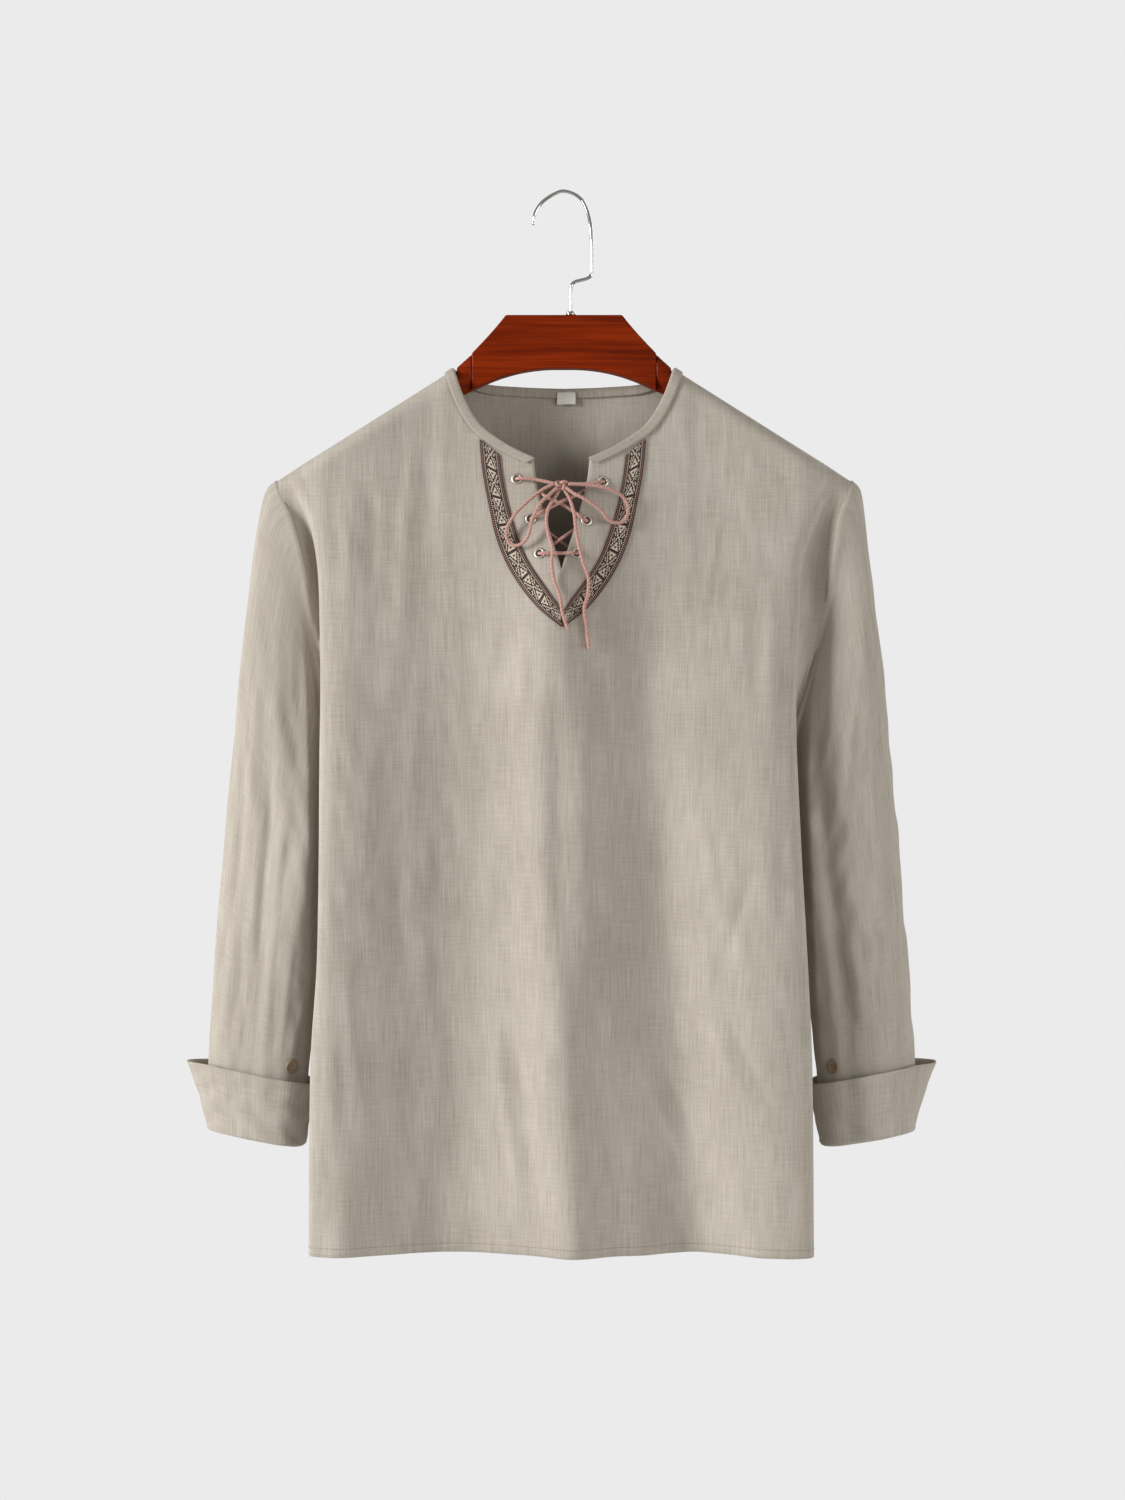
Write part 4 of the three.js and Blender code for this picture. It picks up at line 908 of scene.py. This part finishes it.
freeLace = {
    "loop_right": {"piece": "laceLoopRight", "far": "object"},
    "loop_left": {"piece": "laceLoopLeft", "far": "object"},
    "end_right": {"piece": "laceEndRight", "far": "bare"},
    "end_left": {"piece": "laceEndLeft", "far": "bare"},
}
for name, facts in freeLace.items():
    line = laceLines[name]
    piece = addPiece(facts["piece"], tubeMesh(facts["piece"], line, laceRadius, 12),
                     cottonLace, ["lace_" + name])
print("lace made")


# Body panels

def steps(first, last, each):
    return np.linspace(first, last, int(round(abs(last - first) * each)) + 1)


# Fine rows and columns for each coarse one, the hem's turn, and how far the seams lap in mm: outward at
# the armhole and at the side seam, and the front's edge backwards over the shoulder and side seams
panelLook = {
    "wall": 0.7, "frontRows": 9, "frontColumns": 5.5, "backRows": 6, "backColumns": 5,
    "hemDepth": 7, "hemGap": 1.4, "armLap": 0.9, "sideLap": 0.02, "overLap": 0.62,
}


# Rows of a panel: close together over the ridge of the shoulders, then even
def bodyRows(each):
    ridge = np.array([0, 0.03, 0.07, 0.12, 0.19, 0.28, 0.4, 0.54, 0.7, 0.85])
    return np.concatenate([ridge, steps(1, 22, each)])


def wholePanel(half, rows, columns, facing):
    right, left = half(-1, rows, columns), half(1, rows, columns)
    points = np.concatenate([right[:, ::-1], left], 1)
    overLap = panelLook["overLap"] if facing < 0 else 0
    lap = np.zeros((len(rows), 3))
    atArm = rows <= shirt["armholeRows"]
    lap[:, 0] = np.where(atArm, panelLook["armLap"], panelLook["sideLap"])
    lap[:, 1] = np.where(atArm, 0, overLap)
    first = points[:, 0] + lap * (-1, 1, 1)
    last = points[:, -1] + lap
    points = np.concatenate([first[:, None], points, last[:, None]], 1)
    if facing < 0:
        top = points[0] + np.array([0, overLap, 0])
        points = np.concatenate([top[None], points], 0)
    return points


lastColumn = shirt["faceColumns"] + shirt["rollColumns"]
frontPoints = wholePanel(
    frontHalf, bodyRows(panelLook["frontRows"]), steps(0, lastColumn, panelLook["frontColumns"]), -1)
backPoints = wholePanel(
    backHalf, bodyRows(panelLook["backRows"]), steps(0, lastColumn, panelLook["backColumns"]), 1)
eyeletPlaces = {
    "right_top": (-37.3, -231.2), "right_middle": (-26.2, -263.5), "right_bottom": (-19.3, -291.2),
    "left_top": (30.8, -233.5), "left_middle": (17.7, -264.9), "left_bottom": (10, -291.2),
}
eyeletSpots = [onFront(x, z, 0) for x, z in eyeletPlaces.values()]
eyeletAxes = [frontNormal(x, z) for x, z in eyeletPlaces.values()]
print("front grid", frontPoints.shape, "back grid", backPoints.shape)


# Where the threads run on a body panel: straight down, and round the sides with the cloth
def threadPlaces(points):
    middle = points.shape[1] // 2
    across = np.linalg.norm(np.diff(points[..., :2], axis=1), axis=-1)
    right = points[:, middle - 1, :1] - np.cumsum(across[:, :middle - 1][:, ::-1], axis=1)[:, ::-1]
    left = points[:, middle, :1] + np.cumsum(across[:, middle:], axis=1)
    inner = points[:, middle - 1:middle + 1, 0]
    return np.stack([np.concatenate([right, inner, left], 1), points[..., 2]], -1)


def clothPanel(name, points, facing, node, holes=()):
    points = hemRows(points, False, panelLook["hemDepth"], panelLook["hemGap"], flip=facing > 0)
    mesh = gridMesh(name, points, flip=facing > 0, holes=holes, threads=threadPlaces(points),
                    openStrip=points.shape[1] // 2 - 1)
    weld(mesh)
    return thicken(addPiece(name, mesh, linen, [node]), panelLook["wall"])


eyeletHole = 2.8
eyeletHoles = [(tuple(spot), eyeletHole) for spot in eyeletSpots]
shirtFront = clothPanel("shirtFront", frontPoints, -1, "front", eyeletHoles)
shirtBack = clothPanel("shirtBack", backPoints, 1, "back")
print("body panels made")


# Sleeves, with their first ring carried a little way under the edge of the armhole
sleeveLook = {"wall": 0.7, "lap": (3.4, 0.3), "tuck": (1.5, 3), "aroundEach": 6, "ringsEach": 9}
ringSteps = steps(0, 12, sleeveLook["ringsEach"])
aroundSteps = np.arange(around * sleeveLook["aroundEach"]) / sleeveLook["aroundEach"]


def sleevePoints(side):
    points = sleeveRows(side, ringSteps, aroundSteps)
    middle = points[0].mean(0)
    inward = unit(middle - points[0])
    toBody = np.array([-side, 0, 0])
    toBack = ease(-4 * np.sin(math.pi * aroundSteps / aroundHalf))[:, None]
    shift = inward * mix(*sleeveLook["tuck"], toBack) + toBody * mix(*sleeveLook["lap"], toBack)
    tucked = [points[0] + shift * share for share in (1, 0.5)]
    return np.concatenate([np.stack(tucked), points], 0)


bothSides = ((-1, "Right"), (1, "Left"))
for side, name in bothSides:
    mesh = gridMesh("sleeve" + name, sleevePoints(side), closed=True, flip=side < 0)
    piece = addPiece("sleeve" + name, mesh, linen, ["sleeve_" + name.lower()])
    thicken(piece, sleeveLook["wall"])
print("sleeves made")


# Cuffs: turned up, a short leg inside the sleeve, the fold under its end, a long leg outside
cuffLook = {
    "height": 54, "backLower": 4, "fold": 3.6, "stand": 1.7, "flare": 4.5, "flareBend": 1.4,
    "tip": 11, "heel": 2.5, "inside": 14, "wall": 0.8, "rows": 30,
}


def cuffPoints(side):
    rings = sleeveRows(side, np.array([11.0, 12.0]), aroundSteps, hollow=0)
    low, high = rings[1], rings[0]
    up = unit(high - low)
    wrist = (sleeveRings["outerX"][-1] + sleeveRings["innerX"][-1]) / 2
    middle = np.array([side * wrist, 0, 0]) + low * (0, 0, 1)
    out = low - middle
    out = unit(out - up * (out * up).sum(-1, keepdims=True))
    angle = math.pi * aroundSteps / aroundHalf
    tip = cuffLook["tip"] * bump(np.minimum(angle, 2 * math.pi - angle), 0, 0.45)
    flare = cuffLook["flare"] + tip + cuffLook["heel"] * bump(angle, math.pi, 0.8)
    half = np.where(angle < math.pi, angle / math.pi, 2 - angle / math.pi)
    rise = cuffLook["height"] - cuffLook["backLower"] * ease(half)
    foot = low - up * cuffLook["fold"]
    rows = []
    for share in np.linspace(1, 0.02, cuffLook["rows"]):
        height = rise * share
        offset = cuffLook["stand"] + flare * share ** cuffLook["flareBend"]
        wave = 0.7 * crumple(
            angle * 40, -height * 4 - 200, seed=71 + side, count=24, shortest=18, longest=60, lean=0.4)
        wave = wave * ease((1 - share) / 0.2)
        rows.append(foot + out * (offset + wave)[:, None] + up * height[:, None])
    underFold = [(1.0, 0.4), (0.1, 0.1), (-0.8, 0.1), (-1.6, 0.5), (-2.0, 1.6)]
    insideLeg = [(-2.1, height) for height in (4, 8, cuffLook["inside"])]
    for offset, height in underFold + insideLeg:
        rows.append(foot + out * offset + up * height)
    return np.stack(rows)


for side, name in bothSides:
    mesh = gridMesh("cuff" + name, cuffPoints(side), closed=True, flip=side < 0)
    piece = addPiece("cuff" + name, mesh, linen, ["cuff_" + name.lower()])
    thicken(piece, cuffLook["wall"])
print("cuffs made")


# Neck binding: a strip folded over the neck edge, from one corner of the slit to the other
bindingLook = {"width": 6, "wall": 0.5, "outside": 1.35, "inside": -2.1}
legShares = np.linspace(0, 1, 5)


def frontLegs(side, rows):
    pair = frontHalf(side, rows, np.array([0.0, 1.0]))
    edge, far = pair[:, 0], pair[:, 1]
    reach = np.linalg.norm(far - edge, axis=-1)[:, None, None]
    return edge[:, None] + (far - edge)[:, None] * legShares[None, :, None] * bindingLook["width"] / reach


def backLegs(side, backColumns):
    top = backNeckLine(backColumns)
    slope = math.atan(shirt["shoulderSlope"])
    slant = slope + (math.pi / 2 - slope) * ease((shirt["backNeckColumns"] - backColumns) / 3.4)
    reach = legShares[None] * bindingLook["width"]

    def onBack(reach):
        x = top[:, :1] + reach * np.cos(slant)[:, None]
        z = top[:, 1:] - reach * np.sin(slant)[:, None]
        return np.stack([side * x, backFace(x, z) + shirt["seamGap"], z], -1)

    far = onBack(reach + 0 * top[:, :1])
    length = np.maximum(np.linalg.norm(far - far[:, :1], axis=-1), 1e-6)
    return onBack(reach * np.minimum(1, reach / length))


def bindingLegs():
    frontRows = np.concatenate([steps(5, 1, 8)[:-1], [1, 0.8, 0.6, 0.45, 0.3, 0.19, 0.1, 0.04, 0]])
    backSteps = steps(5.75, 0, 6)
    return np.concatenate([
        frontLegs(-1, frontRows), backLegs(-1, backSteps), backLegs(1, backSteps[::-1][1:]),
        frontLegs(1, frontRows[::-1]),
    ])


legs = bindingLegs()
bindingTangents = unit(np.gradient(legs, axis=0))
bindingInto = np.gradient(legs, axis=1)
bindingInto = unit(bindingInto - bindingTangents * (bindingInto * bindingTangents).sum(-1, keepdims=True))
bindingOut = np.cross(bindingTangents, bindingInto)


def bindingLine(leg, inward, lift):
    return legs[:, leg] + bindingInto[:, leg] * inward + bindingOut[:, leg] * lift


outside, inside = bindingLook["outside"], bindingLook["inside"]
bindingSection = [(4, 0, outside - 0.35), (4, -0.25, outside - 0.08)]
bindingSection += [(leg, 0, outside) for leg in (3, 2, 1, 0)]
bindingSection += [(0, -0.8, outside - 0.1), (0, -1.3, outside - 0.6), (0, -1.5, -0.35),
                   (0, -1.3, inside + 0.6), (0, -0.8, inside + 0.1)]
bindingSection += [(leg, 0, inside) for leg in (0, 1, 2, 3)] + [(4, 0, inside + 0.2)]
bindingGrid = np.stack([bindingLine(*place) for place in bindingSection], 0)
neckBinding = thicken(addPiece("neckBinding", gridMesh("neckBinding", bindingGrid, flip=True), bindingLinen,
                               ["neck_binding"]), bindingLook["wall"])
print("binding made")


# Trim tape: a band down each side of the slit, the two meeting in a point below it
tapeEdges = [
    (66, -199, 50, -212), (64, -222, 47.5, -231), (59, -250, 43, -253), (52, -280, 36.5, -275),
    (40, -307, 27.5, -297), (21, -333, 13, -319), (0.6, -350, 0.6, -337),
]


def tapeAt(side, share, across):
    edges = smoothLine(tapeEdges, share)
    x = mix(edges[:, 2:3], edges[:, 0:1], across[None])
    z = mix(edges[:, 3:4], edges[:, 1:2], across[None])
    return onFront(side * x + shirt["middleShift"] / 2, z, tapeLook["lift"])


def tapeMesh(name, side):
    fine = np.linspace(0, 1, 401)
    middle = tapeAt(side, fine, np.array([0.5]))[:, 0]
    length = reachAlong(middle)
    count = int(round(length[-1] / tapeLook["cellMm"]))
    shares = np.interp(np.linspace(0, length[-1], count + 1), length, fine)
    cells = tapeLook["cells"]
    mesh = gridMesh(name, tapeAt(side, shares, np.linspace(0, 1, cells + 1)), flip=side < 0)
    colours = np.zeros((count, cells, 4))
    for r in range(count):
        for c in range(cells):
            yarn = tapeYarn(count - 1 - r, min(c, cells - 1 - c))
            colours[r, c] = hexColour(tapeLook[yarn])
    layer = mesh.color_attributes.new(name="weave", type="FLOAT_COLOR", domain="CORNER")
    atCorners = np.repeat(colours.reshape(-1, 4), 4, axis=0)
    layer.data.foreach_set("color", atCorners.reshape(-1).astype(np.float32))
    return mesh


for side, name in bothSides:
    piece = addPiece("trimTape" + name, tapeMesh("trimTape" + name, side), wovenTape,
                     ["trim_tape_" + name.lower()])
    thicken(piece, tapeLook["wall"])
print("tape made")


# Eyelets: a rolled rim in front of the cloth and a flange behind it
eyeletProfile = [
    (2.6, -1.2), (2.6, 0.6), (2.72, 0.95), (3.05, 1.18), (3.5, 1.24), (4.0, 1.1), (4.38, 0.75),
    (4.5, 0.35), (4.35, 0.12), (3.4, 0.1), (3.35, -0.95), (3.9, -1.0), (4.1, -1.15), (3.9, -1.4),
    (3.2, -1.45), (2.7, -1.38), (2.6, -1.2),
]
eyelets = addPiece("eyelets", spunMesh("eyelets", eyeletProfile, 28, list(zip(eyeletSpots, eyeletAxes))),
                   eyeletSteel, ["eyelet_" + name for name in eyeletPlaces])


# Size label: a plain white loop of satin, folded at its lower edge
labelLook = {
    "startX": -5.5, "width": 15, "top": -156.5, "height": 10.3, "thick": 1.0, "wall": 0.14, "lift": 3.3,
}


def labelPoints():
    drop = labelLook["height"]
    half = labelLook["thick"] / 2
    shares = (0.15, 0.4, 0.65, 0.85)
    loop = [(0, 0.9)] + [(-drop * share, 1.0) for share in shares]
    loop += [(-drop + 0.3, 0.9), (-drop, 0.5), (-drop + 0.3, 0.1)]
    loop += [(-drop * share, 0.0) for share in shares[::-1]] + [(0, 0.1)]
    rows = []
    for fall, out in loop:
        x = labelLook["startX"] + np.linspace(0, labelLook["width"], 13)
        z = labelLook["top"] + fall + 0.25 * np.sin(x * 0.4)
        curl = 0.5 * ((x - x.mean()) / labelLook["width"] * 2) ** 2 * (-fall / drop)
        y = backFace(x, z) + shirt["seamGap"] - labelLook["lift"] - (2 * half * out - half) - curl
        rows.append(np.stack([x, y, z], -1))
    return np.stack(rows)


sizeLabel = thicken(addPiece("sizeLabel", gridMesh("sizeLabel", labelPoints()), labelSatin,
                             ["size_label"]), labelLook["wall"])


# Sleeve buttons, just above the cuffs
buttonProfile = [
    (0, 1.35), (2.6, 1.35), (3.1, 1.6), (3.6, 2.05), (4.2, 2.25), (4.9, 2.15), (5.35, 1.7), (5.4, 1.2),
    (5.1, 0.75), (4.5, 0.5), (0, 0.5),
]
for side, name in bothSides:
    ring = sleeveRows(side, np.array([10.0, 11.0]), np.array([9.0, 10.0]))
    low, high, beside = ring[1, 0], ring[0, 0], ring[1, 1]
    spot = mix(low, high, 0.32)
    normal = np.cross(high - low, beside - low)
    outward = 1 if normal[0] * side < 0 else -1
    normal = normal / np.linalg.norm(normal) * outward
    addPiece("sleeveButton" + name, spunMesh("sleeveButton", buttonProfile, 32, [(spot, normal)]),
             buttonHorn, ["sleeve_button_" + name.lower()])
print("small parts made")


# Hanger: a flat board in the middle and two arms that widen under the shoulders
boardLook = {"half": 73.7, "depth": 13, "bevel": 1.5}


def bentLine(start, pull, end, count):
    t = np.linspace(0, 1, count)[:, None]
    start, pull, end = (np.array(p, float) for p in (start, pull, end))
    return (1 - t) ** 2 * start + 2 * t * (1 - t) * pull + t * t * end


def boardMesh():
    half = boardLook["half"]
    right = np.concatenate([
        [(-8, -141)], bentLine((-8, -141), (-42, -141.4), (-half, -158.6), 18)[1:],
        bentLine((-half, -129.1), (-55, -110), (-46.5, -98.4), 12),
    ])
    outline = np.concatenate([right, right[::-1] * (-1, 1)])
    count, depth = len(outline), boardLook["depth"] / 2
    verts = [(x * mm, y * depth * mm, z * mm) for y in (-1, 1) for x, z in outline]
    faces = [tuple(range(count))[::-1], tuple(range(count, 2 * count))]
    for i in range(count):
        j = (i + 1) % count
        faces.append((i, j, j + count, i + count))
    mesh = bpy.data.meshes.new("hangerBoard")
    mesh.from_pydata(verts, [], faces)
    weld(mesh)
    mesh.polygons.foreach_set("use_smooth", np.ones(len(mesh.polygons), bool))
    return mesh


hangerBoard = addPiece("hangerBoard", boardMesh(), lacqueredWood, ["hanger_board"])
bevel = hangerBoard.modifiers.new("easedEdges", "BEVEL")
bevel.width, bevel.segments, bevel.limit_method, bevel.angle_limit = boardLook["bevel"] * mm, 4, "ANGLE", 0.6
hangerBoard.modifiers.new("evenShading", "WEIGHTED_NORMAL")

armHeights = {
    "x": [74.3, 80, 85.4, 86.4, 94, 106, 125, 150, 175, 195, 206, 214],
    "top": [-129.6, -134.8, -139.6, -145.4, -149.8, -156.4, -167.4, -183.2, -199, -211.7, -218.9, -226.5],
    "bottom": [-159, -161.5, -164, -164.6, -169, -177, -191, -208, -224, -235, -238, -236],
}


def armMesh(name, side):
    x = np.concatenate([np.linspace(73.8, 85.2, 8), np.linspace(85.5, 86.6, 6), np.linspace(88, 214, 60)])
    half = readTable(armDepths, "x", "half", x)
    top = np.interp(x, armHeights["x"], armHeights["top"])
    bottom = readTable(armHeights, "x", "bottom", x)
    height = top - bottom
    topRound = np.minimum(11.6, height / 2)
    angle = 2 * math.pi * np.arange(36) / 36
    up = np.cos(angle)[None]
    lower = bottom[:, None] + (height - topRound)[:, None] * np.maximum(1 + up, 0) ** 0.75
    z = np.where(up >= 0, top[:, None] - topRound[:, None] * (1 - up), lower)
    y = half[:, None] * np.sin(angle)[None]
    points = np.stack([np.broadcast_to(side * x[:, None], z.shape), y, z], -1)
    inner, outer = points[0].mean(0), points[-1].mean(0)
    shrink = [inner + (points[0] - inner) * share for share in (0.02, 0.97)]
    tip = [outer + (points[-1] - outer) * share + np.array([side * out, 0, 0])
           for share, out in ((0.85, 0.8), (0.5, 1.4), (0.02, 1.6))]
    points = np.concatenate([np.stack(shrink), points, np.stack(tip)], 0)
    return gridMesh(name, points, closed=True, flip=side < 0)


for side, name in bothSides:
    addPiece("hangerArm" + name, armMesh("hangerArm" + name, side), lacqueredWood,
             ["hanger_arm_" + name.lower()])

# Hook: one wire from the board's top, up, over and down to the open tip
hookLook = {"stemX": 5.6, "wire": 1.35, "boardTop": -98.4}
hookRoute = [
    (hookLook["stemX"], -114), (hookLook["stemX"], -96), (5.7, -77), (6.4, -73.2), (9.2, -70.9),
    (13, -69.9), (18.6, -68.3), (21.4, -66.2), (22.3, -62), (22.4, -58), (22, -36), (20.2, -20),
    (13.5, -4.6), (0, 1.5), (-8.5, -1.2), (-18, -8), (-23, -16), (-24.6, -24.5),
]
hookLine = roundedLine([(x, 0, z) for x, z in hookRoute], 12)
addPiece("hangerHook", tubeMesh("hangerHook", hookLine, hookLook["wire"], 16), hookSteel,
         ["hanger_hook"])
collarProfile = [
    (1.9, 0.3), (3.8, 0.3), (4.0, 0.5), (4.0, 1.8), (3.8, 2.2), (3.1, 3.2), (2.7, 3.45), (1.9, 3.45),
    (1.9, 0.3),
]
collarPlace = ((hookLook["stemX"], 0, hookLook["boardTop"]), (0, 0, 1))
addPiece("hookCollar", spunMesh("hookCollar", collarProfile, 32, [collarPlace]), hookSteel,
         ["hook_collar"])
print("hanger made")


# Stitches: short raised threads along a seam, all one length, as a sewing machine leaves them
def stitchTree():
    tree = bpy.data.node_groups.new("seamStitches", "GeometryNodeTree")
    tree.interface.new_socket("Seam", in_out="INPUT", socket_type="NodeSocketGeometry")
    for name in ("pitch", "length", "thickness"):
        tree.interface.new_socket(name, in_out="INPUT", socket_type="NodeSocketFloat")
    tree.interface.new_socket("thread", in_out="INPUT", socket_type="NodeSocketMaterial")
    tree.interface.new_socket("Stitches", in_out="OUTPUT", socket_type="NodeSocketGeometry")
    given = addNode(tree, "NodeGroupInput").outputs
    curve = addNode(tree, "GeometryNodeMeshToCurve", None, {"Mesh": given["Seam"]})
    spaced = addNode(tree, "GeometryNodeResampleCurve", {"mode": "LENGTH"}, {
        "Curve": curve.outputs[0], "Length": given["pitch"]})
    tangent = addNode(tree, "GeometryNodeInputTangent")
    turned = addNode(tree, "FunctionNodeAlignRotationToVector", {"axis": "X"}, {"Vector": tangent.outputs[0]})
    thread = addNode(tree, "GeometryNodeMeshUVSphere", None, {"Segments": 6, "Rings": 5, "Radius": 0.5})
    size = addNode(tree, "ShaderNodeCombineXYZ", None, {
        "X": given["length"], "Y": given["thickness"], "Z": given["thickness"]})
    placed = addNode(tree, "GeometryNodeInstanceOnPoints", None, {
        "Points": spaced.outputs[0], "Instance": thread.outputs[0], "Rotation": turned.outputs[0],
        "Scale": size.outputs[0]})
    real = addNode(tree, "GeometryNodeRealizeInstances", None, {"Geometry": placed.outputs[0]})
    smooth = addNode(tree, "GeometryNodeSetShadeSmooth", None, {"Geometry": real.outputs[0]})
    dyed = addNode(tree, "GeometryNodeSetMaterial", None, {
        "Geometry": smooth.outputs[0], "Material": given["thread"]})
    out = addNode(tree, "NodeGroupOutput")
    tree.links.new(dyed.outputs[0], out.inputs["Stitches"])
    return tree


stitches = stitchTree()
stitchLook = {"pitch": 2.6, "length": 2.0, "thickness": 0.45}
stitchLift, hemLine = 0.12, 6.5


def sew(name, lines, look):
    verts, edges = [], []
    for line in lines:
        edges += [(len(verts) + i, len(verts) + i + 1) for i in range(len(line) - 1)]
        verts += (np.asarray(line) * mm).tolist()
    seam = bpy.data.meshes.new(name + "Seam")
    seam.from_pydata(verts, edges, [])
    holder = bpy.data.objects.new(name + "Seam", seam)
    bpy.context.scene.collection.objects.link(holder)
    maker = holder.modifiers.new("stitches", "NODES")
    maker.node_group = stitches
    for item in stitches.interface.items_tree:
        if item.name in look:
            maker[item.identifier] = look[item.name] * mm
        if item.name == "thread":
            maker[item.identifier] = sewingThread
    bpy.context.view_layer.update()
    made = holder.evaluated_get(bpy.context.evaluated_depsgraph_get())
    mesh = bpy.data.meshes.new_from_object(made)
    bpy.data.objects.remove(holder)
    mesh.name = name
    return addPiece(name, mesh, sewingThread)


# A line across a panel, a way up from its lower edge, just proud of the cloth
def lineAbove(points, normals, up, lift, columns=slice(None)):
    line = []
    for column in range(points.shape[1])[columns]:
        strand = points[::-1, column]
        reach = reachAlong(strand)
        spot = [np.interp(up, reach, strand[:, i]) for i in range(3)]
        away = [np.interp(up, reach, normals[::-1, column, i]) for i in range(3)]
        line.append(np.array(spot) + np.array(away) * lift)
    return np.array(line)


frontNormals, backNormals = -gridNormals(frontPoints), gridNormals(backPoints)
hemStitches = sew("hemStitches", [
    lineAbove(frontPoints, frontNormals, hemLine, stitchLift, slice(2, -2)),
    lineAbove(backPoints, backNormals, hemLine, stitchLift, slice(2, -2)),
], stitchLook)
bindingStitches = sew("bindingStitches", [
    bindingLine(3, 0, outside + stitchLift), bindingLine(3, 0, inside - stitchLift),
], {**stitchLook, "pitch": 2.4, "length": 1.9})


def cuffLine(side):
    grid = cuffPoints(side)
    line = grid[3] + gridNormals(grid, True)[3] * stitchLift * side
    return np.concatenate([line, line[:1]])


sew("cuffStitches", [cuffLine(-1), cuffLine(1)], stitchLook)
print("stitches made")


# Studio: a pale floor below, soft light from the photo's left, a paler fill from its right
scene = bpy.context.scene
scene.view_settings.view_transform = "Standard"
floorMesh = bpy.data.meshes.new("paleFloor")
floorCorners = [(-0.9, -0.9, -1.3), (0.9, -0.9, -1.3), (0.9, 0.8, -1.3), (-0.9, 0.8, -1.3)]
floorMesh.from_pydata(floorCorners, [], [(0, 1, 2, 3)])
floor = bpy.data.objects.new("paleFloor", floorMesh)
scene.collection.objects.link(floor)
floorMesh.materials.append(newMaterial("paleFloor", {
    "Base Color": hexColour("E4E4E4"), "Roughness": 0.9})[0])

studio = {"background": "EBEBEB", "shade": "FFF8F0", "ambient": 0.27}
world = bpy.data.worlds.new("studio")
world.use_nodes = True
scene.world = world
worldTree = world.node_tree
seen = addNode(worldTree, "ShaderNodeBackground", None, {
    "Color": hexColour(studio["background"]), "Strength": 1.0})
soft = addNode(worldTree, "ShaderNodeBackground", None, {
    "Color": hexColour(studio["shade"]), "Strength": studio["ambient"]})
rays = addNode(worldTree, "ShaderNodeLightPath")
both = addNode(worldTree, "ShaderNodeMixShader", None, {
    0: rays.outputs["Is Camera Ray"], 1: soft.outputs[0], 2: seen.outputs[0]})
worldTree.links.new(both.outputs[0], worldTree.nodes["World Output"].inputs["Surface"])

shirtMiddle = Vector((0, 0, -0.45))
lamps = {
    "keyLamp": {"place": (-6.4, -2.7, 1.6), "size": 1.6, "watts": 415},
    "fillLamp": {"place": (2.2, -2.6, -0.1), "size": 1.6, "watts": 22},
    "leftRimLamp": {"place": (-1.7, -0.65, -0.5), "size": 0.7, "watts": 13},
    "rightRimLamp": {"place": (1.9, -0.7, -0.5), "size": 0.7, "watts": 11},
    "backLamp": {"place": (1.4, 3.0, 1.2), "size": 1.6, "watts": 40},
}
for name, facts in lamps.items():
    lamp = bpy.data.lights.new(name, "AREA")
    lamp.size, lamp.energy = facts["size"], facts["watts"]
    lampObject = bpy.data.objects.new(name, lamp)
    scene.collection.objects.link(lampObject)
    lampObject.location = facts["place"]
    lampObject.visible_camera = False
    toShirt = shirtMiddle - Vector(facts["place"])
    lampObject.rotation_euler = toShirt.to_track_quat("-Z", "Y").to_euler()
print("studio set")
